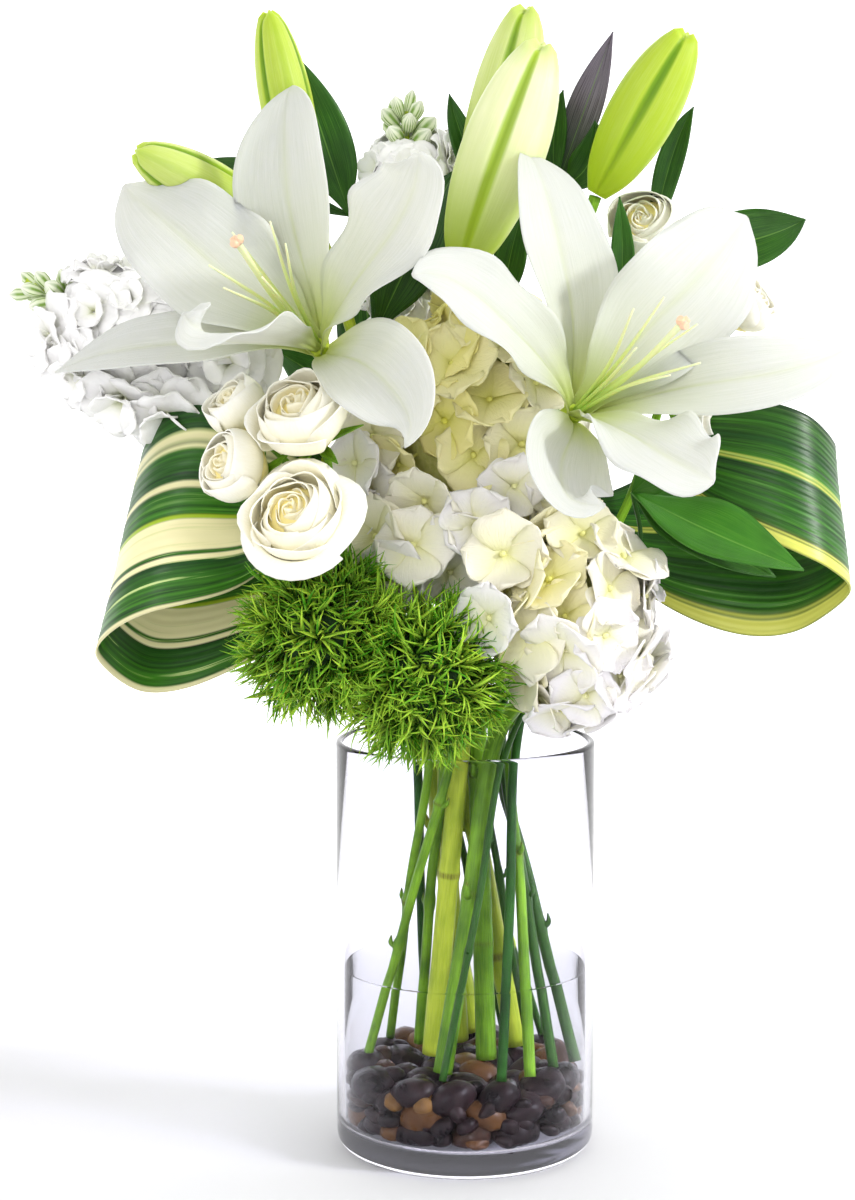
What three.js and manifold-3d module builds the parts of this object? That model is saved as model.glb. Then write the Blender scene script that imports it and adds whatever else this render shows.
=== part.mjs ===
// A bouquet of white lilies, hydrangea, spray roses, stock and green dianthus, with looped
// variegated leaves, standing in a clear glass cylinder vase on river pebbles and water.
// Millimetres, +Z up. The origin is the middle of the vase's flat foot, and -Y is the front.

import * as THREE from 'three';
import { mergeVertices } from 'three/addons/utils/BufferGeometryUtils.js';
import Module from 'manifold-3d';

const wasm = await Module();
wasm.setup();

// ---------------------------------------------------------------- driving dimensions

const GAP = 0.35; // clearance left between neighbouring pieces
const VASE = { radius: 63.5, height: 203, wall: 3.8, base: 12, heel: 8, innerHeel: 6, facets: 32 };
const BORE = VASE.radius - VASE.wall;
const WATER = { bottom: 44.2, top: 90 };
const PEBBLE = { length: 11.5, width: 9, height: 8 };
const BUNDLE = { mouth: 205, foot: 45.2, turn: THREE.MathUtils.degToRad(-75), spread: 1.9 };
const PETAL = 1.1; // thickness of a lily petal
const LEAF = 1.2; // thickness of every leaf

const COLOURS = {
  glass: 0xdfe3ee, water: 0xe9f1f4, pebble: 0x41343a, lily: 0xfbfbf4, filament: 0xdce8a6,
  bud: 0xb9d65a, stem: 0x5f9a2e, limeStem: 0x9cc653, hydrangea: 0xf6f2da,
  rose: 0xfaf7ea, stock: 0xf6f4f8, dianthus: 0x4f9a26, aspidistra: 0x2e6a2a, ruscus: 0x2b5f2a,
};

// ---------------------------------------------------------------- small tools

const at = (x, y, z) => new THREE.Vector3(x, y, z);
const along = (from, to, share) => from.clone().lerp(to, share);

function randomFrom(seed) {
  let state = seed;
  return () => {
    state = (state * 1664525 + 1013904223) % 4294967296;
    return state / 4294967296;
  };
}

// a value read off a list of [place, value] knots, with straight lines between them
function knots(list, place) {
  const next = list.findIndex(([where]) => where >= place);
  if (next <= 0) return list[next < 0 ? list.length - 1 : 0][1];
  const [from, low] = list[next - 1];
  const [to, high] = list[next];
  return low + ((high - low) * (place - from)) / (to - from);
}

function closedGeometry(points, triangles) {
  const geometry = new THREE.BufferGeometry();
  const values = points.flatMap((p) => p.toArray());
  geometry.setAttribute('position', new THREE.Float32BufferAttribute(values, 3));
  let volume = 0;
  for (const [a, b, c] of triangles) {
    volume += points[a].dot(points[b].clone().cross(points[c]));
  }
  geometry.setIndex(triangles.flatMap(([a, b, c]) => (volume > 0 ? [a, b, c] : [a, c, b])));
  return geometry;
}

// rings of points joined into a closed skin, with a flat fan at each end
function loft(rings) {
  const sides = rings[0].length;
  const points = rings.flat();
  const triangles = [];
  for (let i = 0; i + 1 < rings.length; i += 1) {
    for (let j = 0; j < sides; j += 1) {
      const [a, b] = [i * sides + j, i * sides + ((j + 1) % sides)];
      triangles.push([a, b, b + sides], [a, b + sides, a + sides]);
    }
  }
  const last = (rings.length - 1) * sides;
  for (const [start, turned] of [[0, true], [last, false]]) {
    const middle = points.length;
    const ring = points.slice(start, start + sides);
    points.push(ring.reduce((sum, p) => sum.add(p), at(0, 0, 0)).divideScalar(sides));
    for (let j = 0; j < sides; j += 1) {
      const [a, b] = [start + j, start + ((j + 1) % sides)];
      triangles.push(turned ? [middle, b, a] : [middle, a, b]);
    }
  }
  return closedGeometry(points, triangles);
}

// a round stalk along a smooth curve; radii are read evenly along it
function stalk(points, radii, sides = 6, steps = 8) {
  const curve = new THREE.CatmullRomCurve3(points, false, 'centripetal');
  const frames = curve.computeFrenetFrames(steps, false);
  const radiusAt = (share) => knots(radii.map((r, i) => [i / (radii.length - 1), r]), share);
  const rings = [];
  for (let i = 0; i <= steps; i += 1) {
    const centre = curve.getPointAt(i / steps);
    const radius = radiusAt(i / steps);
    rings.push(Array.from({ length: sides }, (_, j) => {
      const angle = (2 * Math.PI * j) / sides;
      return centre.clone()
        .addScaledVector(frames.normals[i], radius * Math.cos(angle))
        .addScaledVector(frames.binormals[i], radius * Math.sin(angle));
    }));
  }
  return loft(rings);
}

// a thin curved blade through a grid of points, split into like triangles on both faces
function blade(grid, thickness) {
  const [rows, columns] = [grid.length, grid[0].length];
  const points = [];
  for (const side of [0.5, -0.5]) {
    for (let i = 0; i < rows; i += 1) {
      for (let j = 0; j < columns; j += 1) {
        const lengthwise = grid[Math.min(i + 1, rows - 1)][j].clone().sub(grid[Math.max(i - 1, 0)][j]);
        const across = grid[i][Math.min(j + 1, columns - 1)].clone().sub(grid[i][Math.max(j - 1, 0)]);
        const normal = across.cross(lengthwise).normalize();
        points.push(grid[i][j].clone().addScaledVector(normal, side * thickness));
      }
    }
  }
  const under = rows * columns;
  const triangles = [];
  for (let i = 0; i + 1 < rows; i += 1) {
    for (let j = 0; j + 1 < columns; j += 1) {
      const a = i * columns + j;
      const [b, c, d] = [a + 1, a + columns + 1, a + columns];
      triangles.push([a, b, c], [a, c, d]);
      triangles.push([under + a, under + c, under + b], [under + a, under + d, under + c]);
    }
  }
  const rim = [];
  for (let j = 0; j < columns - 1; j += 1) rim.push(j);
  for (let i = 0; i < rows - 1; i += 1) rim.push(i * columns + columns - 1);
  for (let j = columns - 1; j > 0; j -= 1) rim.push((rows - 1) * columns + j);
  for (let i = rows - 1; i > 0; i -= 1) rim.push(i * columns);
  rim.forEach((a, k) => {
    const b = rim[(k + 1) % rim.length];
    triangles.push([a, under + a, under + b], [a, under + b, b]);
  });
  return closedGeometry(points, triangles);
}

// a slim three-sided needle
function needle(root, tip, width) {
  const axis = tip.clone().sub(root).normalize();
  const side = Math.abs(axis.z) < 0.9 ? at(0, 0, 1) : at(1, 0, 0);
  const u = side.cross(axis).normalize();
  const v = axis.clone().cross(u);
  const corners = [0, 1, 2].map((k) => {
    const angle = (2 * Math.PI * k) / 3;
    return root.clone()
      .addScaledVector(u, (width / 2) * Math.cos(angle))
      .addScaledVector(v, (width / 2) * Math.sin(angle));
  });
  return closedGeometry([...corners, tip], [[0, 2, 1], [0, 1, 3], [1, 2, 3], [2, 0, 3]]);
}

const NECK = { width: 0.16, depth: 0.35 };

// an open face with a shaped rim, that narrows below to a three-sided neck and a pointed foot
function funnel(rim, middle, foot) {
  const count = rim.length;
  const neck = [0, 1, 2].map((k) => (
    along(middle, foot, NECK.depth)
      .addScaledVector(rim[Math.round(((k + 0.5) * count) / 3) % count].clone().sub(middle), NECK.width)
  ));
  const neckOf = (i) => count + 2 + Math.floor((3 * i) / count);
  const triangles = rim.flatMap((_, i) => {
    const next = (i + 1) % count;
    const [a, b] = [neckOf(i), neckOf(next)];
    const skin = [[count, i, next], [a, next, i]];
    return a === b ? skin : [...skin, [a, b, next], [count + 1, b, a]];
  });
  return closedGeometry([...rim, middle, foot, ...neck], triangles);
}

function egg(centre, radii, around = 8, tall = 5) {
  const geometry = new THREE.SphereGeometry(1, around, tall);
  geometry.rotateX(Math.PI / 2);
  geometry.scale(...radii.toArray());
  geometry.translate(...centre.toArray());
  return geometry;
}

// two directions square to an axis, the second as near upright as it can be
function squareTo(axis) {
  const u = at(0, 0, 1).cross(axis);
  if (u.length() < 0.1) u.set(1, 0, 0);
  u.normalize();
  return [u, axis.clone().cross(u)];
}

// evenly spread directions over a ball
function directions(count) {
  const golden = Math.PI * (3 - Math.sqrt(5));
  return Array.from({ length: count }, (_, i) => {
    const z = 1 - (2 * (i + 0.5)) / count;
    const r = Math.sqrt(1 - z * z);
    return at(r * Math.cos(golden * i), r * Math.sin(golden * i), z);
  });
}

// ---------------------------------------------------------------- solids

function weld(geometry) {
  const bare = geometry.clone();
  bare.deleteAttribute('normal');
  bare.deleteAttribute('uv');
  return mergeVertices(bare, 1e-4);
}

// every corner moved out along its normal, so that the form becomes its own clearance
function swell(geometry, distance) {
  const grown = weld(geometry);
  const place = grown.getAttribute('position');
  const index = grown.getIndex().array;
  const normals = Array.from({ length: place.count }, () => at(0, 0, 0));
  for (let i = 0; i < index.length; i += 3) {
    const corners = [0, 1, 2].map((k) => new THREE.Vector3().fromBufferAttribute(place, index[i + k]));
    const face = corners[1].clone().sub(corners[0]).cross(corners[2].clone().sub(corners[0]));
    if (face.length() < 1e-9) continue;
    face.normalize();
    corners.forEach((corner, k) => {
      const edges = [1, 2].map((n) => corners[(k + n) % 3].clone().sub(corner));
      normals[index[i + k]].addScaledVector(face, edges[0].angleTo(edges[1]));
    });
  }
  normals.forEach((normal, i) => {
    const corner = new THREE.Vector3().fromBufferAttribute(place, i);
    place.setXYZ(i, ...corner.addScaledVector(normal.normalize(), distance).toArray());
  });
  return grown;
}

function solidOf(geometry) {
  const welded = weld(geometry);
  return new wasm.Manifold(new wasm.Mesh({
    numProp: 3,
    vertProperties: new Float32Array(welded.getAttribute('position').array),
    triVerts: new Uint32Array(welded.getIndex().array),
  }));
}

const joined = (geometries) => wasm.Manifold.union(geometries.map(solidOf));

function boxOf(geometries) {
  const box = new THREE.Box3();
  geometries.forEach((geometry) => {
    geometry.computeBoundingBox();
    box.union(geometry.boundingBox);
  });
  return box.expandByScalar(1);
}

function meshOf(solid, name, colour, roughness, opacity = 1) {
  const { vertProperties, triVerts } = solid.getMesh();
  const geometry = new THREE.BufferGeometry();
  geometry.setAttribute('position', new THREE.Float32BufferAttribute(vertProperties, 3));
  geometry.setIndex(Array.from(triVerts));
  geometry.computeVertexNormals();
  const material = new THREE.MeshStandardMaterial({ color: colour, roughness, metalness: 0 });
  material.opacity = opacity;
  material.transparent = opacity < 1;
  const mesh = new THREE.Mesh(geometry, material);
  mesh.name = name;
  return mesh;
}

// The pieces are placed in turn. Each later piece gives way where it meets an earlier one,
// and what a neighbour cuts loose from it is dropped.
const bouquet = new THREE.Group();
bouquet.name = 'lilies_in_vase';
const placed = [];

function place(name, forms, colour, roughness, opacity = 1) {
  const box = boxOf(forms);
  let solid = joined(forms);
  for (const other of placed.filter((piece) => piece.box.intersectsBox(box))) {
    other.clearance ??= joined(other.forms.map((form) => swell(form, GAP * 1.35)));
    solid = solid.subtract(other.clearance);
  }
  const bodies = solid.decompose().sort((a, b) => b.volume() - a.volume());
  placed.push({ name, forms, box });
  bouquet.add(meshOf(bodies[0], name, colour, roughness, opacity));
}

// ---------------------------------------------------------------- stems in the vase

// A stem's place in the mouth of the vase is turned and spread on the way down to its foot,
// so the stems cross over each other like a spiral hand-tied bunch and never touch.
function inVase([x, y]) {
  const { mouth, foot, turn, spread } = BUNDLE;
  const cos = Math.cos(turn) * spread;
  const sin = Math.sin(turn) * spread;
  const top = at(x, y, mouth);
  const bottom = at(x * cos - y * sin, x * sin + y * cos, foot);
  return [bottom, along(bottom, top, 0.5), top];
}

const fullStem = (seat, above, radii, sides = 6, steps = 9) => (
  stalk([...inVase(seat), ...above.map((p) => at(...p))], radii, sides, steps)
);

// ---------------------------------------------------------------- vase, pebbles and water

function arc(centreR, centreZ, radius, from, to, steps) {
  return Array.from({ length: steps + 1 }, (_, i) => {
    const angle = THREE.MathUtils.degToRad(from + ((to - from) * i) / steps);
    return new THREE.Vector2(centreR + radius * Math.cos(angle), centreZ + radius * Math.sin(angle));
  });
}

function vase() {
  const { radius, height, wall, base, heel, innerHeel, facets } = VASE;
  const profile = [
    new THREE.Vector2(0, 0),
    ...arc(radius - heel, heel, heel, -90, 0, 3),
    ...arc(radius - wall / 2, height - wall / 2, wall / 2, 0, 180, 2),
    ...arc(BORE - innerHeel, base + innerHeel, innerHeel, 0, -90, 2),
    new THREE.Vector2(0, base),
  ];
  const turned = new THREE.LatheGeometry(profile, facets);
  turned.rotateX(Math.PI / 2);
  return turned;
}

function pebbleBed() {
  const random = randomFrom(11);
  const floor = VASE.base + 0.4;
  const rings = [
    { count: 12, radius: 47.5, height: floor + 8.4 },
    { count: 11, radius: 47, height: floor + 20.5 },
    { count: 5, radius: 24, height: floor + 22 },
    { count: 1, radius: 0, height: floor + 22.5 },
  ];
  const pebbles = rings.flatMap(({ count, radius, height }, ring) => (
    Array.from({ length: count }, (_, i) => {
      const angle = (2 * Math.PI * (i + ring / 2)) / count;
      const { length, width, height: tall } = PEBBLE;
      const pebble = new THREE.SphereGeometry(1, 6, 3);
      pebble.rotateX(Math.PI / 2);
      pebble.scale(width * (0.9 + 0.2 * random()), length * (0.9 + 0.3 * random()), tall);
      pebble.rotateX(0.5 * (random() - 0.5));
      pebble.rotateZ(angle + 0.6 * (random() - 0.5));
      pebble.translate(radius * Math.cos(angle), radius * Math.sin(angle), height);
      return pebble;
    })
  ));
  const heart = new THREE.CylinderGeometry(41, 41, 20, 8);
  heart.rotateX(Math.PI / 2);
  heart.translate(0, 0, floor + 12);
  return [heart, ...pebbles];
}

function water() {
  const radius = BORE - 1.6 * GAP;
  const body = new THREE.CylinderGeometry(radius, radius, WATER.top - WATER.bottom, VASE.facets);
  body.rotateX(Math.PI / 2);
  body.translate(0, 0, (WATER.top + WATER.bottom) / 2);
  return body;
}

// ---------------------------------------------------------------- lilies

// A lily's throat, the way it faces, and its six petals: where each tip ends, the point its
// middle passes through, how wide it is, and how many degrees it turns about its own length.
const LILIES = {
  lily_left: {
    throat: at(-67, -50, 392), axis: at(-0.42, -0.66, 0.62),
    petals: [
      { tip: at(-82, -13, 516), middle: at(-81, -50, 459), width: 47 },
      { inner: true, tip: at(-23, -118, 478), middle: at(-42, -92, 435), width: 54, roll: -24 },
      { tip: at(-28, -159, 353), middle: at(-42, -124, 384), width: 44 },
      { inner: true, tip: at(-121, -150, 409), middle: at(-95, -118, 397), width: 40 },
      { tip: at(-194, -25, 382), middle: at(-126, -60, 397), width: 34 },
      { inner: true, tip: at(-162, -11, 470), middle: at(-113, -55, 430), width: 58 },
    ],
    pistil: at(-101, -118, 440), filament: 74,
  },
  lily_right: {
    throat: at(47, -62, 363), axis: at(0.46, -0.75, 0.42),
    petals: [
      { tip: at(26, -33, 485), middle: at(44, -68, 429), width: 46 },
      { inner: true, tip: at(130, -34, 454), middle: at(88, -75, 409), width: 56 },
      { tip: at(176, -56, 394), middle: at(110, -85, 378), width: 36 },
      { inner: true, tip: at(103, -150, 338), middle: at(75, -118, 354), width: 50, roll: -22 },
      { tip: at(57, -150, 328), middle: at(41, -118, 343), width: 46 },
      { inner: true, tip: at(-25, -128, 425), middle: at(19, -100, 404), width: 40 },
    ],
    pistil: at(91, -131, 405), filament: 74,
  },
};

const PETAL_WIDTH = {
  outer: [[0, 0.16], [0.14, 0.28], [0.3, 0.68], [0.5, 1], [0.7, 0.88], [0.87, 0.46], [1, 0.04]],
  inner: [[0, 0.16], [0.14, 0.26], [0.3, 0.66], [0.5, 1], [0.7, 0.92], [0.88, 0.54], [1, 0.06]],
};

// One petal leaves the throat along the axis and turns outwards to its tip. The three wide
// petals stand just inside the three narrow ones, so neighbours overlap and do not cross.
function lilyPetal({ throat, axis }, { tip, middle, width, roll = 0, inner }) {
  const [rows, columns] = [5, inner ? 3 : 2];
  const rise = tip.clone().sub(throat).dot(axis);
  const out = tip.clone().sub(throat).addScaledVector(axis, -rise);
  const aside = out.clone().setLength(inner ? 1.4 : 4.2);
  const root = throat.clone().add(aside);
  const rising = root.clone().addScaledVector(axis, inner ? 27 : 22).addScaledVector(out, 0.14);
  const turning = middle.clone().multiplyScalar(8).sub(root).sub(tip)
    .addScaledVector(rising, -3).divideScalar(3);
  const spine = new THREE.CubicBezierCurve3(root, rising, turning, tip);
  const grid = [];
  for (let i = 0; i <= rows; i += 1) {
    const share = i / rows;
    const centre = spine.getPoint(share);
    const run = spine.getTangent(share);
    const turn = THREE.MathUtils.degToRad(-roll * share);
    const across = run.clone().cross(axis).normalize().applyAxisAngle(run, turn);
    const inward = across.clone().cross(run).normalize();
    const half = (width / 2) * knots(PETAL_WIDTH[inner ? 'inner' : 'outer'], share);
    const cup = half * (0.55 - 0.35 * share);
    grid.push(Array.from({ length: columns + 1 }, (_, j) => {
      const v = (2 * j) / columns - 1;
      return centre.clone().addScaledVector(across, v * half).addScaledVector(inward, cup * v * v);
    }));
  }
  return blade(grid, PETAL);
}

function lilyBloom(lily) {
  const { throat, axis } = lily;
  const receptacle = stalk([
    throat.clone().addScaledVector(axis, -9),
    throat.clone().addScaledVector(axis, -3),
    throat.clone().addScaledVector(axis, 5),
  ], [2.6, 5, 5.6], 8, 3);
  return [receptacle, ...lily.petals.map((petal) => lilyPetal(lily, petal))];
}

// six filaments spread round the longer pistil
function lilyStamens({ throat, axis, pistil, filament }) {
  const [u, v] = squareTo(axis);
  const foot = throat.clone().addScaledVector(axis, 5.7);
  const middle = along(foot, pistil, 0.5).addScaledVector(v, -3);
  const style = stalk([foot, middle, pistil], [2.2, 1.7, 1.3, 1.2, 2.6], 5, 4);
  const lean = pistil.clone().sub(foot).normalize();
  const filaments = Array.from({ length: 6 }, (_, k) => {
    const angle = (Math.PI * k) / 3 + 0.3;
    const outward = u.clone().multiplyScalar(Math.cos(angle)).addScaledVector(v, Math.sin(angle));
    return stalk([
      foot.clone().addScaledVector(outward, 1),
      foot.clone().addScaledVector(lean, filament * 0.5).addScaledVector(outward, 7),
      foot.clone().addScaledVector(lean, filament).addScaledVector(outward, 19),
    ], [0.9, 0.8, 0.6], 3, 2);
  });
  return [style, ...filaments];
}

// ---------------------------------------------------------------- lily buds

const BUDS = {
  lily_bud_left: { base: at(-94, -14, 454), tip: at(-155, -25, 485), radius: 13.5 },
  lily_bud_upper_left: { base: at(-76, 4, 462), tip: at(-94, 0, 552), radius: 12.5 },
  lily_bud_centre_back: { base: at(6, 14, 446), tip: at(29, 6, 555), radius: 17 },
  lily_bud_centre_front: { base: at(-3, -24, 430), tip: at(35, -30, 534), radius: 19.5 },
  lily_bud_right: { base: at(62, -5, 466), tip: at(104, -10, 541), radius: 16 },
};

const BUD_SHAPE = [
  [0, 0.3], [0.1, 0.6], [0.28, 0.88], [0.5, 1], [0.7, 0.9], [0.86, 0.62], [0.96, 0.3], [1, 0.12],
];

// three broad lobes with a groove between each two
function lilyBud({ base, tip, radius }, sides = 9) {
  const axis = tip.clone().sub(base).normalize();
  const [u, v] = squareTo(axis);
  return loft(BUD_SHAPE.map(([share, size]) => {
    const centre = along(base, tip, share);
    return Array.from({ length: sides }, (_, j) => {
      const angle = (2 * Math.PI * j) / sides;
      const r = radius * size * (1 + 0.09 * Math.cos(3 * angle));
      return centre.clone()
        .addScaledVector(u, r * Math.cos(angle))
        .addScaledVector(v, r * Math.sin(angle));
    });
  }));
}

// ---------------------------------------------------------------- hydrangea

const HEAD_CORE = 0.72; // share of the head taken by the core, under the florets
const FUNNEL = 1.25; // depth of a floret below its middle, as a share of its reach
const HEADS = {
  hydrangea_upper: { centre: at(2, -16, 350), radii: at(52, 44, 65), florets: 23, size: 20.5, seed: 5 },
  hydrangea_lower: { centre: at(50, -56, 266), radii: at(39, 38, 48), florets: 17, size: 18.5, seed: 8 },
};

// four rounded lobes round a dipped middle, on a stub that is sunk in the head
function floret(centre, normal, size, spin) {
  const [u, v] = squareTo(normal);
  const outline = [];
  for (let lobe = 0; lobe < 4; lobe += 1) {
    for (const [turn, reach, lift] of [[0, 0.5, 0.1], [0.3, 0.98, 0.3], [0.7, 0.98, 0.3]]) {
      const angle = spin + ((lobe + turn) * Math.PI) / 2;
      outline.push(centre.clone()
        .addScaledVector(u, size * reach * Math.cos(angle))
        .addScaledVector(v, size * reach * Math.sin(angle))
        .addScaledVector(normal, size * lift));
    }
  }
  return funnel(outline, centre, centre.clone().addScaledVector(normal, -FUNNEL * size));
}

function hydrangeaHead({ centre, radii, florets, size, seed }) {
  const random = randomFrom(seed);
  const heads = directions(florets).map((direction) => {
    const spot = centre.clone().add(direction.clone().multiply(radii));
    const normal = direction.clone().divide(radii).normalize();
    normal.add(at(random() - 0.5, random() - 0.5, random() - 0.5).multiplyScalar(0.25)).normalize();
    return floret(spot, normal, size * (0.88 + 0.24 * random()), 2 * Math.PI * random());
  });
  return [egg(centre, radii.clone().multiplyScalar(HEAD_CORE)), ...heads];
}

// ---------------------------------------------------------------- roses

const ROSES = {
  spray_rose_front: { centre: at(-76, -106, 319), axis: at(-0.3, -0.8, 0.55), radius: 24, layers: 3 },
  spray_rose_top: { centre: at(-74, -88, 363), axis: at(-0.35, -0.6, 0.72), radius: 23, layers: 3 },
  spray_rose_left: { centre: at(-105, -80, 340), axis: at(-0.75, -0.6, 0.3), radius: 20, layers: 2 },
  spray_rose_behind: { centre: at(-105, -62, 366), axis: at(-0.6, -0.35, 0.72), radius: 17, layers: 2 },
  white_rose_upper: { centre: at(88, 24, 452), axis: at(-0.3, -0.8, 0.5), radius: 20, layers: 2 },
  white_rose_right: { centre: at(136, 18, 414), axis: at(0.75, -0.35, 0.55), radius: 18, layers: 2 },
  white_rose_lower: { centre: at(117, -8, 358), axis: at(0.5, -0.75, 0.1), radius: 18, layers: 2 },
};

// A rose's skin runs up the outside of each whorl of petals, over its edge and down into the
// valley before the next one. Each edge is notched where two petals of its whorl meet.
function rose({ centre, axis, radius, layers }) {
  axis.normalize();
  const [u, v] = squareTo(axis);
  const whorls = [
    { petals: 5, edge: 1.05, height: 0.3, wall: 0.9, valley: -0.22 },
    { petals: 4, edge: 0.74, height: 0.55, wall: 0.62, valley: -0.02 },
    { petals: 3, edge: 0.42, height: 0.66, wall: 0.3, valley: 0.1 },
  ].slice(3 - layers);
  const outside = layers > 2
    ? [[-0.78, 0.2], [-0.5, 0.74], [-0.1, 0.94]]
    : [[-0.66, 0.2], [-0.4, 0.6], [0.05, 0.72]];
  const corners = outside.map(([up, out]) => ({ up, out, petals: 0 }));
  for (const { petals, edge, height, wall, valley } of whorls) {
    corners.push({ up: height, out: edge, petals }, { up: height - 0.03, out: edge - 0.07, petals });
    corners.push({ up: valley, out: wall - 0.12, petals: 0 });
  }
  const sides = layers > 2 ? 12 : 10;
  return [loft(corners.map(({ up, out, petals }) => (
    Array.from({ length: sides }, (_, j) => {
      const angle = (2 * Math.PI * j) / sides;
      const notch = petals ? Math.abs(Math.cos((petals * angle) / 2 + petals)) ** 4 : 0;
      return centre.clone()
        .addScaledVector(axis, radius * (up - 0.3 * notch))
        .addScaledVector(u, radius * (out - 0.06 * notch) * Math.cos(angle))
        .addScaledVector(v, radius * (out - 0.06 * notch) * Math.sin(angle));
    })
  )))];
}

// a rose's own stalk, with narrow sepals under the bloom
function roseStalk({ centre, axis, radius }, from, sepalCount) {
  axis.normalize();
  const seat = centre.clone().addScaledVector(axis, -0.6 * radius);
  const [u, v] = squareTo(axis);
  const sepals = Array.from({ length: sepalCount }, (_, k) => {
    const angle = (2 * Math.PI * k) / sepalCount + 0.6;
    const out = u.clone().multiplyScalar(Math.cos(angle)).addScaledVector(v, Math.sin(angle));
    const tip = centre.clone().addScaledVector(out, 0.95 * radius).addScaledVector(axis, -0.75 * radius);
    return needle(seat.clone().addScaledVector(axis, -0.25 * radius), tip, 3.2);
  });
  const back = seat.clone().addScaledVector(axis, -0.7 * radius);
  return [stalk([from, back, seat], [1.7, 1.6, 3.2], 5, 3), ...sepals];
}

// ---------------------------------------------------------------- stock

const STOCKS = {
  stock_left: {
    from: at(-112, 20, 388), to: at(-188, 8, 414), girth: [45, 24], size: [24, 17], rings: [5, 4, 3],
  },
  stock_top: {
    from: at(-20, 40, 412), to: at(-29, 30, 494), girth: [25, 24], size: [19, 17], rings: [4, 4, 3],
  },
};

// a double floret: a frilled disc whose edge goes in and out and up and down
function frilledFloret(centre, normal, size, spin) {
  const [u, v] = squareTo(normal);
  const count = 8;
  const rim = Array.from({ length: count }, (_, i) => {
    const angle = spin + (2 * Math.PI * i) / count;
    const reach = size * (i % 2 ? 1 : 0.78);
    return centre.clone()
      .addScaledVector(u, reach * Math.cos(angle))
      .addScaledVector(v, reach * Math.sin(angle))
      .addScaledVector(normal, size * (i % 2 ? 0.02 : 0.3));
  });
  return funnel(
    rim,
    centre.clone().addScaledVector(normal, 0.34 * size),
    centre.clone().addScaledVector(normal, -0.6 * size),
  );
}

function stockFlorets({ from, to, girth, size, rings }) {
  const axis = to.clone().sub(from).normalize();
  const [u, v] = squareTo(axis);
  const florets = rings.flatMap((count, ring) => {
    const share = (ring + 0.3) / rings.length;
    const reach = girth[0] + (girth[1] - girth[0]) * share;
    return Array.from({ length: count }, (_, k) => {
      const angle = (2 * Math.PI * (k + ring / 2)) / count + 0.4;
      const out = u.clone().multiplyScalar(Math.cos(angle)).addScaledVector(v, Math.sin(angle));
      const spot = along(from, to, share).addScaledVector(out, reach * 0.8);
      const normal = out.clone().addScaledVector(axis, 0.35).normalize();
      return frilledFloret(spot, normal, size[0] + (size[1] - size[0]) * share, angle);
    });
  });
  const core = stalk([from, along(from, to, 0.92)], [girth[0] * 0.72, girth[1] * 0.8], 7, 1);
  return [core, ...florets];
}

// the green spike above the open florets, with its small closed buds
function stockTip({ from, to }, reach, count) {
  const axis = to.clone().sub(from).normalize();
  const [u, v] = squareTo(axis);
  return Array.from({ length: count }, (_, k) => {
    const angle = k * 2.4;
    const out = u.clone().multiplyScalar(Math.cos(angle)).addScaledVector(v, Math.sin(angle));
    const root = to.clone().addScaledVector(axis, reach * (k / count - 0.35));
    const tip = root.clone().addScaledVector(out, 9 - 5 * (k / count)).addScaledVector(axis, 10);
    return stalk([root, tip], [1.4, 2.8, 1], 3, 2);
  });
}

// ---------------------------------------------------------------- green dianthus

const TUFTS = {
  dianthus_left: { centre: at(-66, -66, 262), radius: 47, away: at(-20, -70, 243), seed: 21 },
  dianthus_right: { centre: at(-20, -70, 243), radius: 46, away: at(-66, -66, 262), seed: 34 },
};

// A ball of needles, raised from the faces of a small core. Those that would reach into the
// next ball stop short of the plane halfway between the two.
function tuft({ centre, radius, away, seed }) {
  const random = randomFrom(seed);
  const toNext = away.clone().sub(centre);
  const halfway = toNext.length() / 2 - GAP;
  toNext.normalize();
  const core = weld(new THREE.IcosahedronGeometry(Math.min(radius * 0.42, halfway), 2));
  const place = core.getAttribute('position');
  const index = core.getIndex().array;
  const points = Array.from({ length: place.count }, (_, i) => (
    new THREE.Vector3().fromBufferAttribute(place, i)
  ));
  const triangles = [];
  for (let i = 0; i < index.length; i += 3) {
    const [a, b, c] = index.slice(i, i + 3);
    const tip = at(0, 0, 0).add(points[a]).add(points[b]).add(points[c]).normalize();
    tip.add(at(random() - 0.5, random() - 0.5, random() - 0.5).multiplyScalar(0.22)).normalize();
    const lean = tip.dot(toNext);
    const room = lean > 0 ? halfway / lean : Infinity;
    tip.multiplyScalar(Math.min(radius * (0.8 + 0.2 * random()), room));
    points.push(tip);
    const top = points.length - 1;
    triangles.push([a, b, top], [b, c, top], [c, a, top]);
  }
  return [closedGeometry(points.map((p) => p.add(centre)), triangles)];
}

// ---------------------------------------------------------------- leaves

const LEAF_WIDTH = [[0, 0.08], [0.33, 0.8], [0.67, 0.92], [1, 0.05]];

// A pointed leaf, folded a little along its rib. It starts on its stem at the spring, and
// runs through its base to its tip.
function leaf(spring, base, tip, width, facing) {
  const spine = new THREE.QuadraticBezierCurve3(spring, along(base, tip, 0.35), tip);
  const rows = 3;
  const grid = [];
  for (let i = 0; i <= rows; i += 1) {
    const share = i / rows;
    const run = spine.getTangent(share);
    const across = run.clone().cross(facing).normalize();
    const normal = across.clone().cross(run).normalize();
    const half = (width / 2) * knots(LEAF_WIDTH, share);
    grid.push([-1, 0, 1].map((side) => (
      spine.getPoint(share)
        .addScaledVector(across, side * half)
        .addScaledVector(normal, Math.abs(side) * half * 0.22)
    )));
  }
  return blade(grid, LEAF);
}

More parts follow.
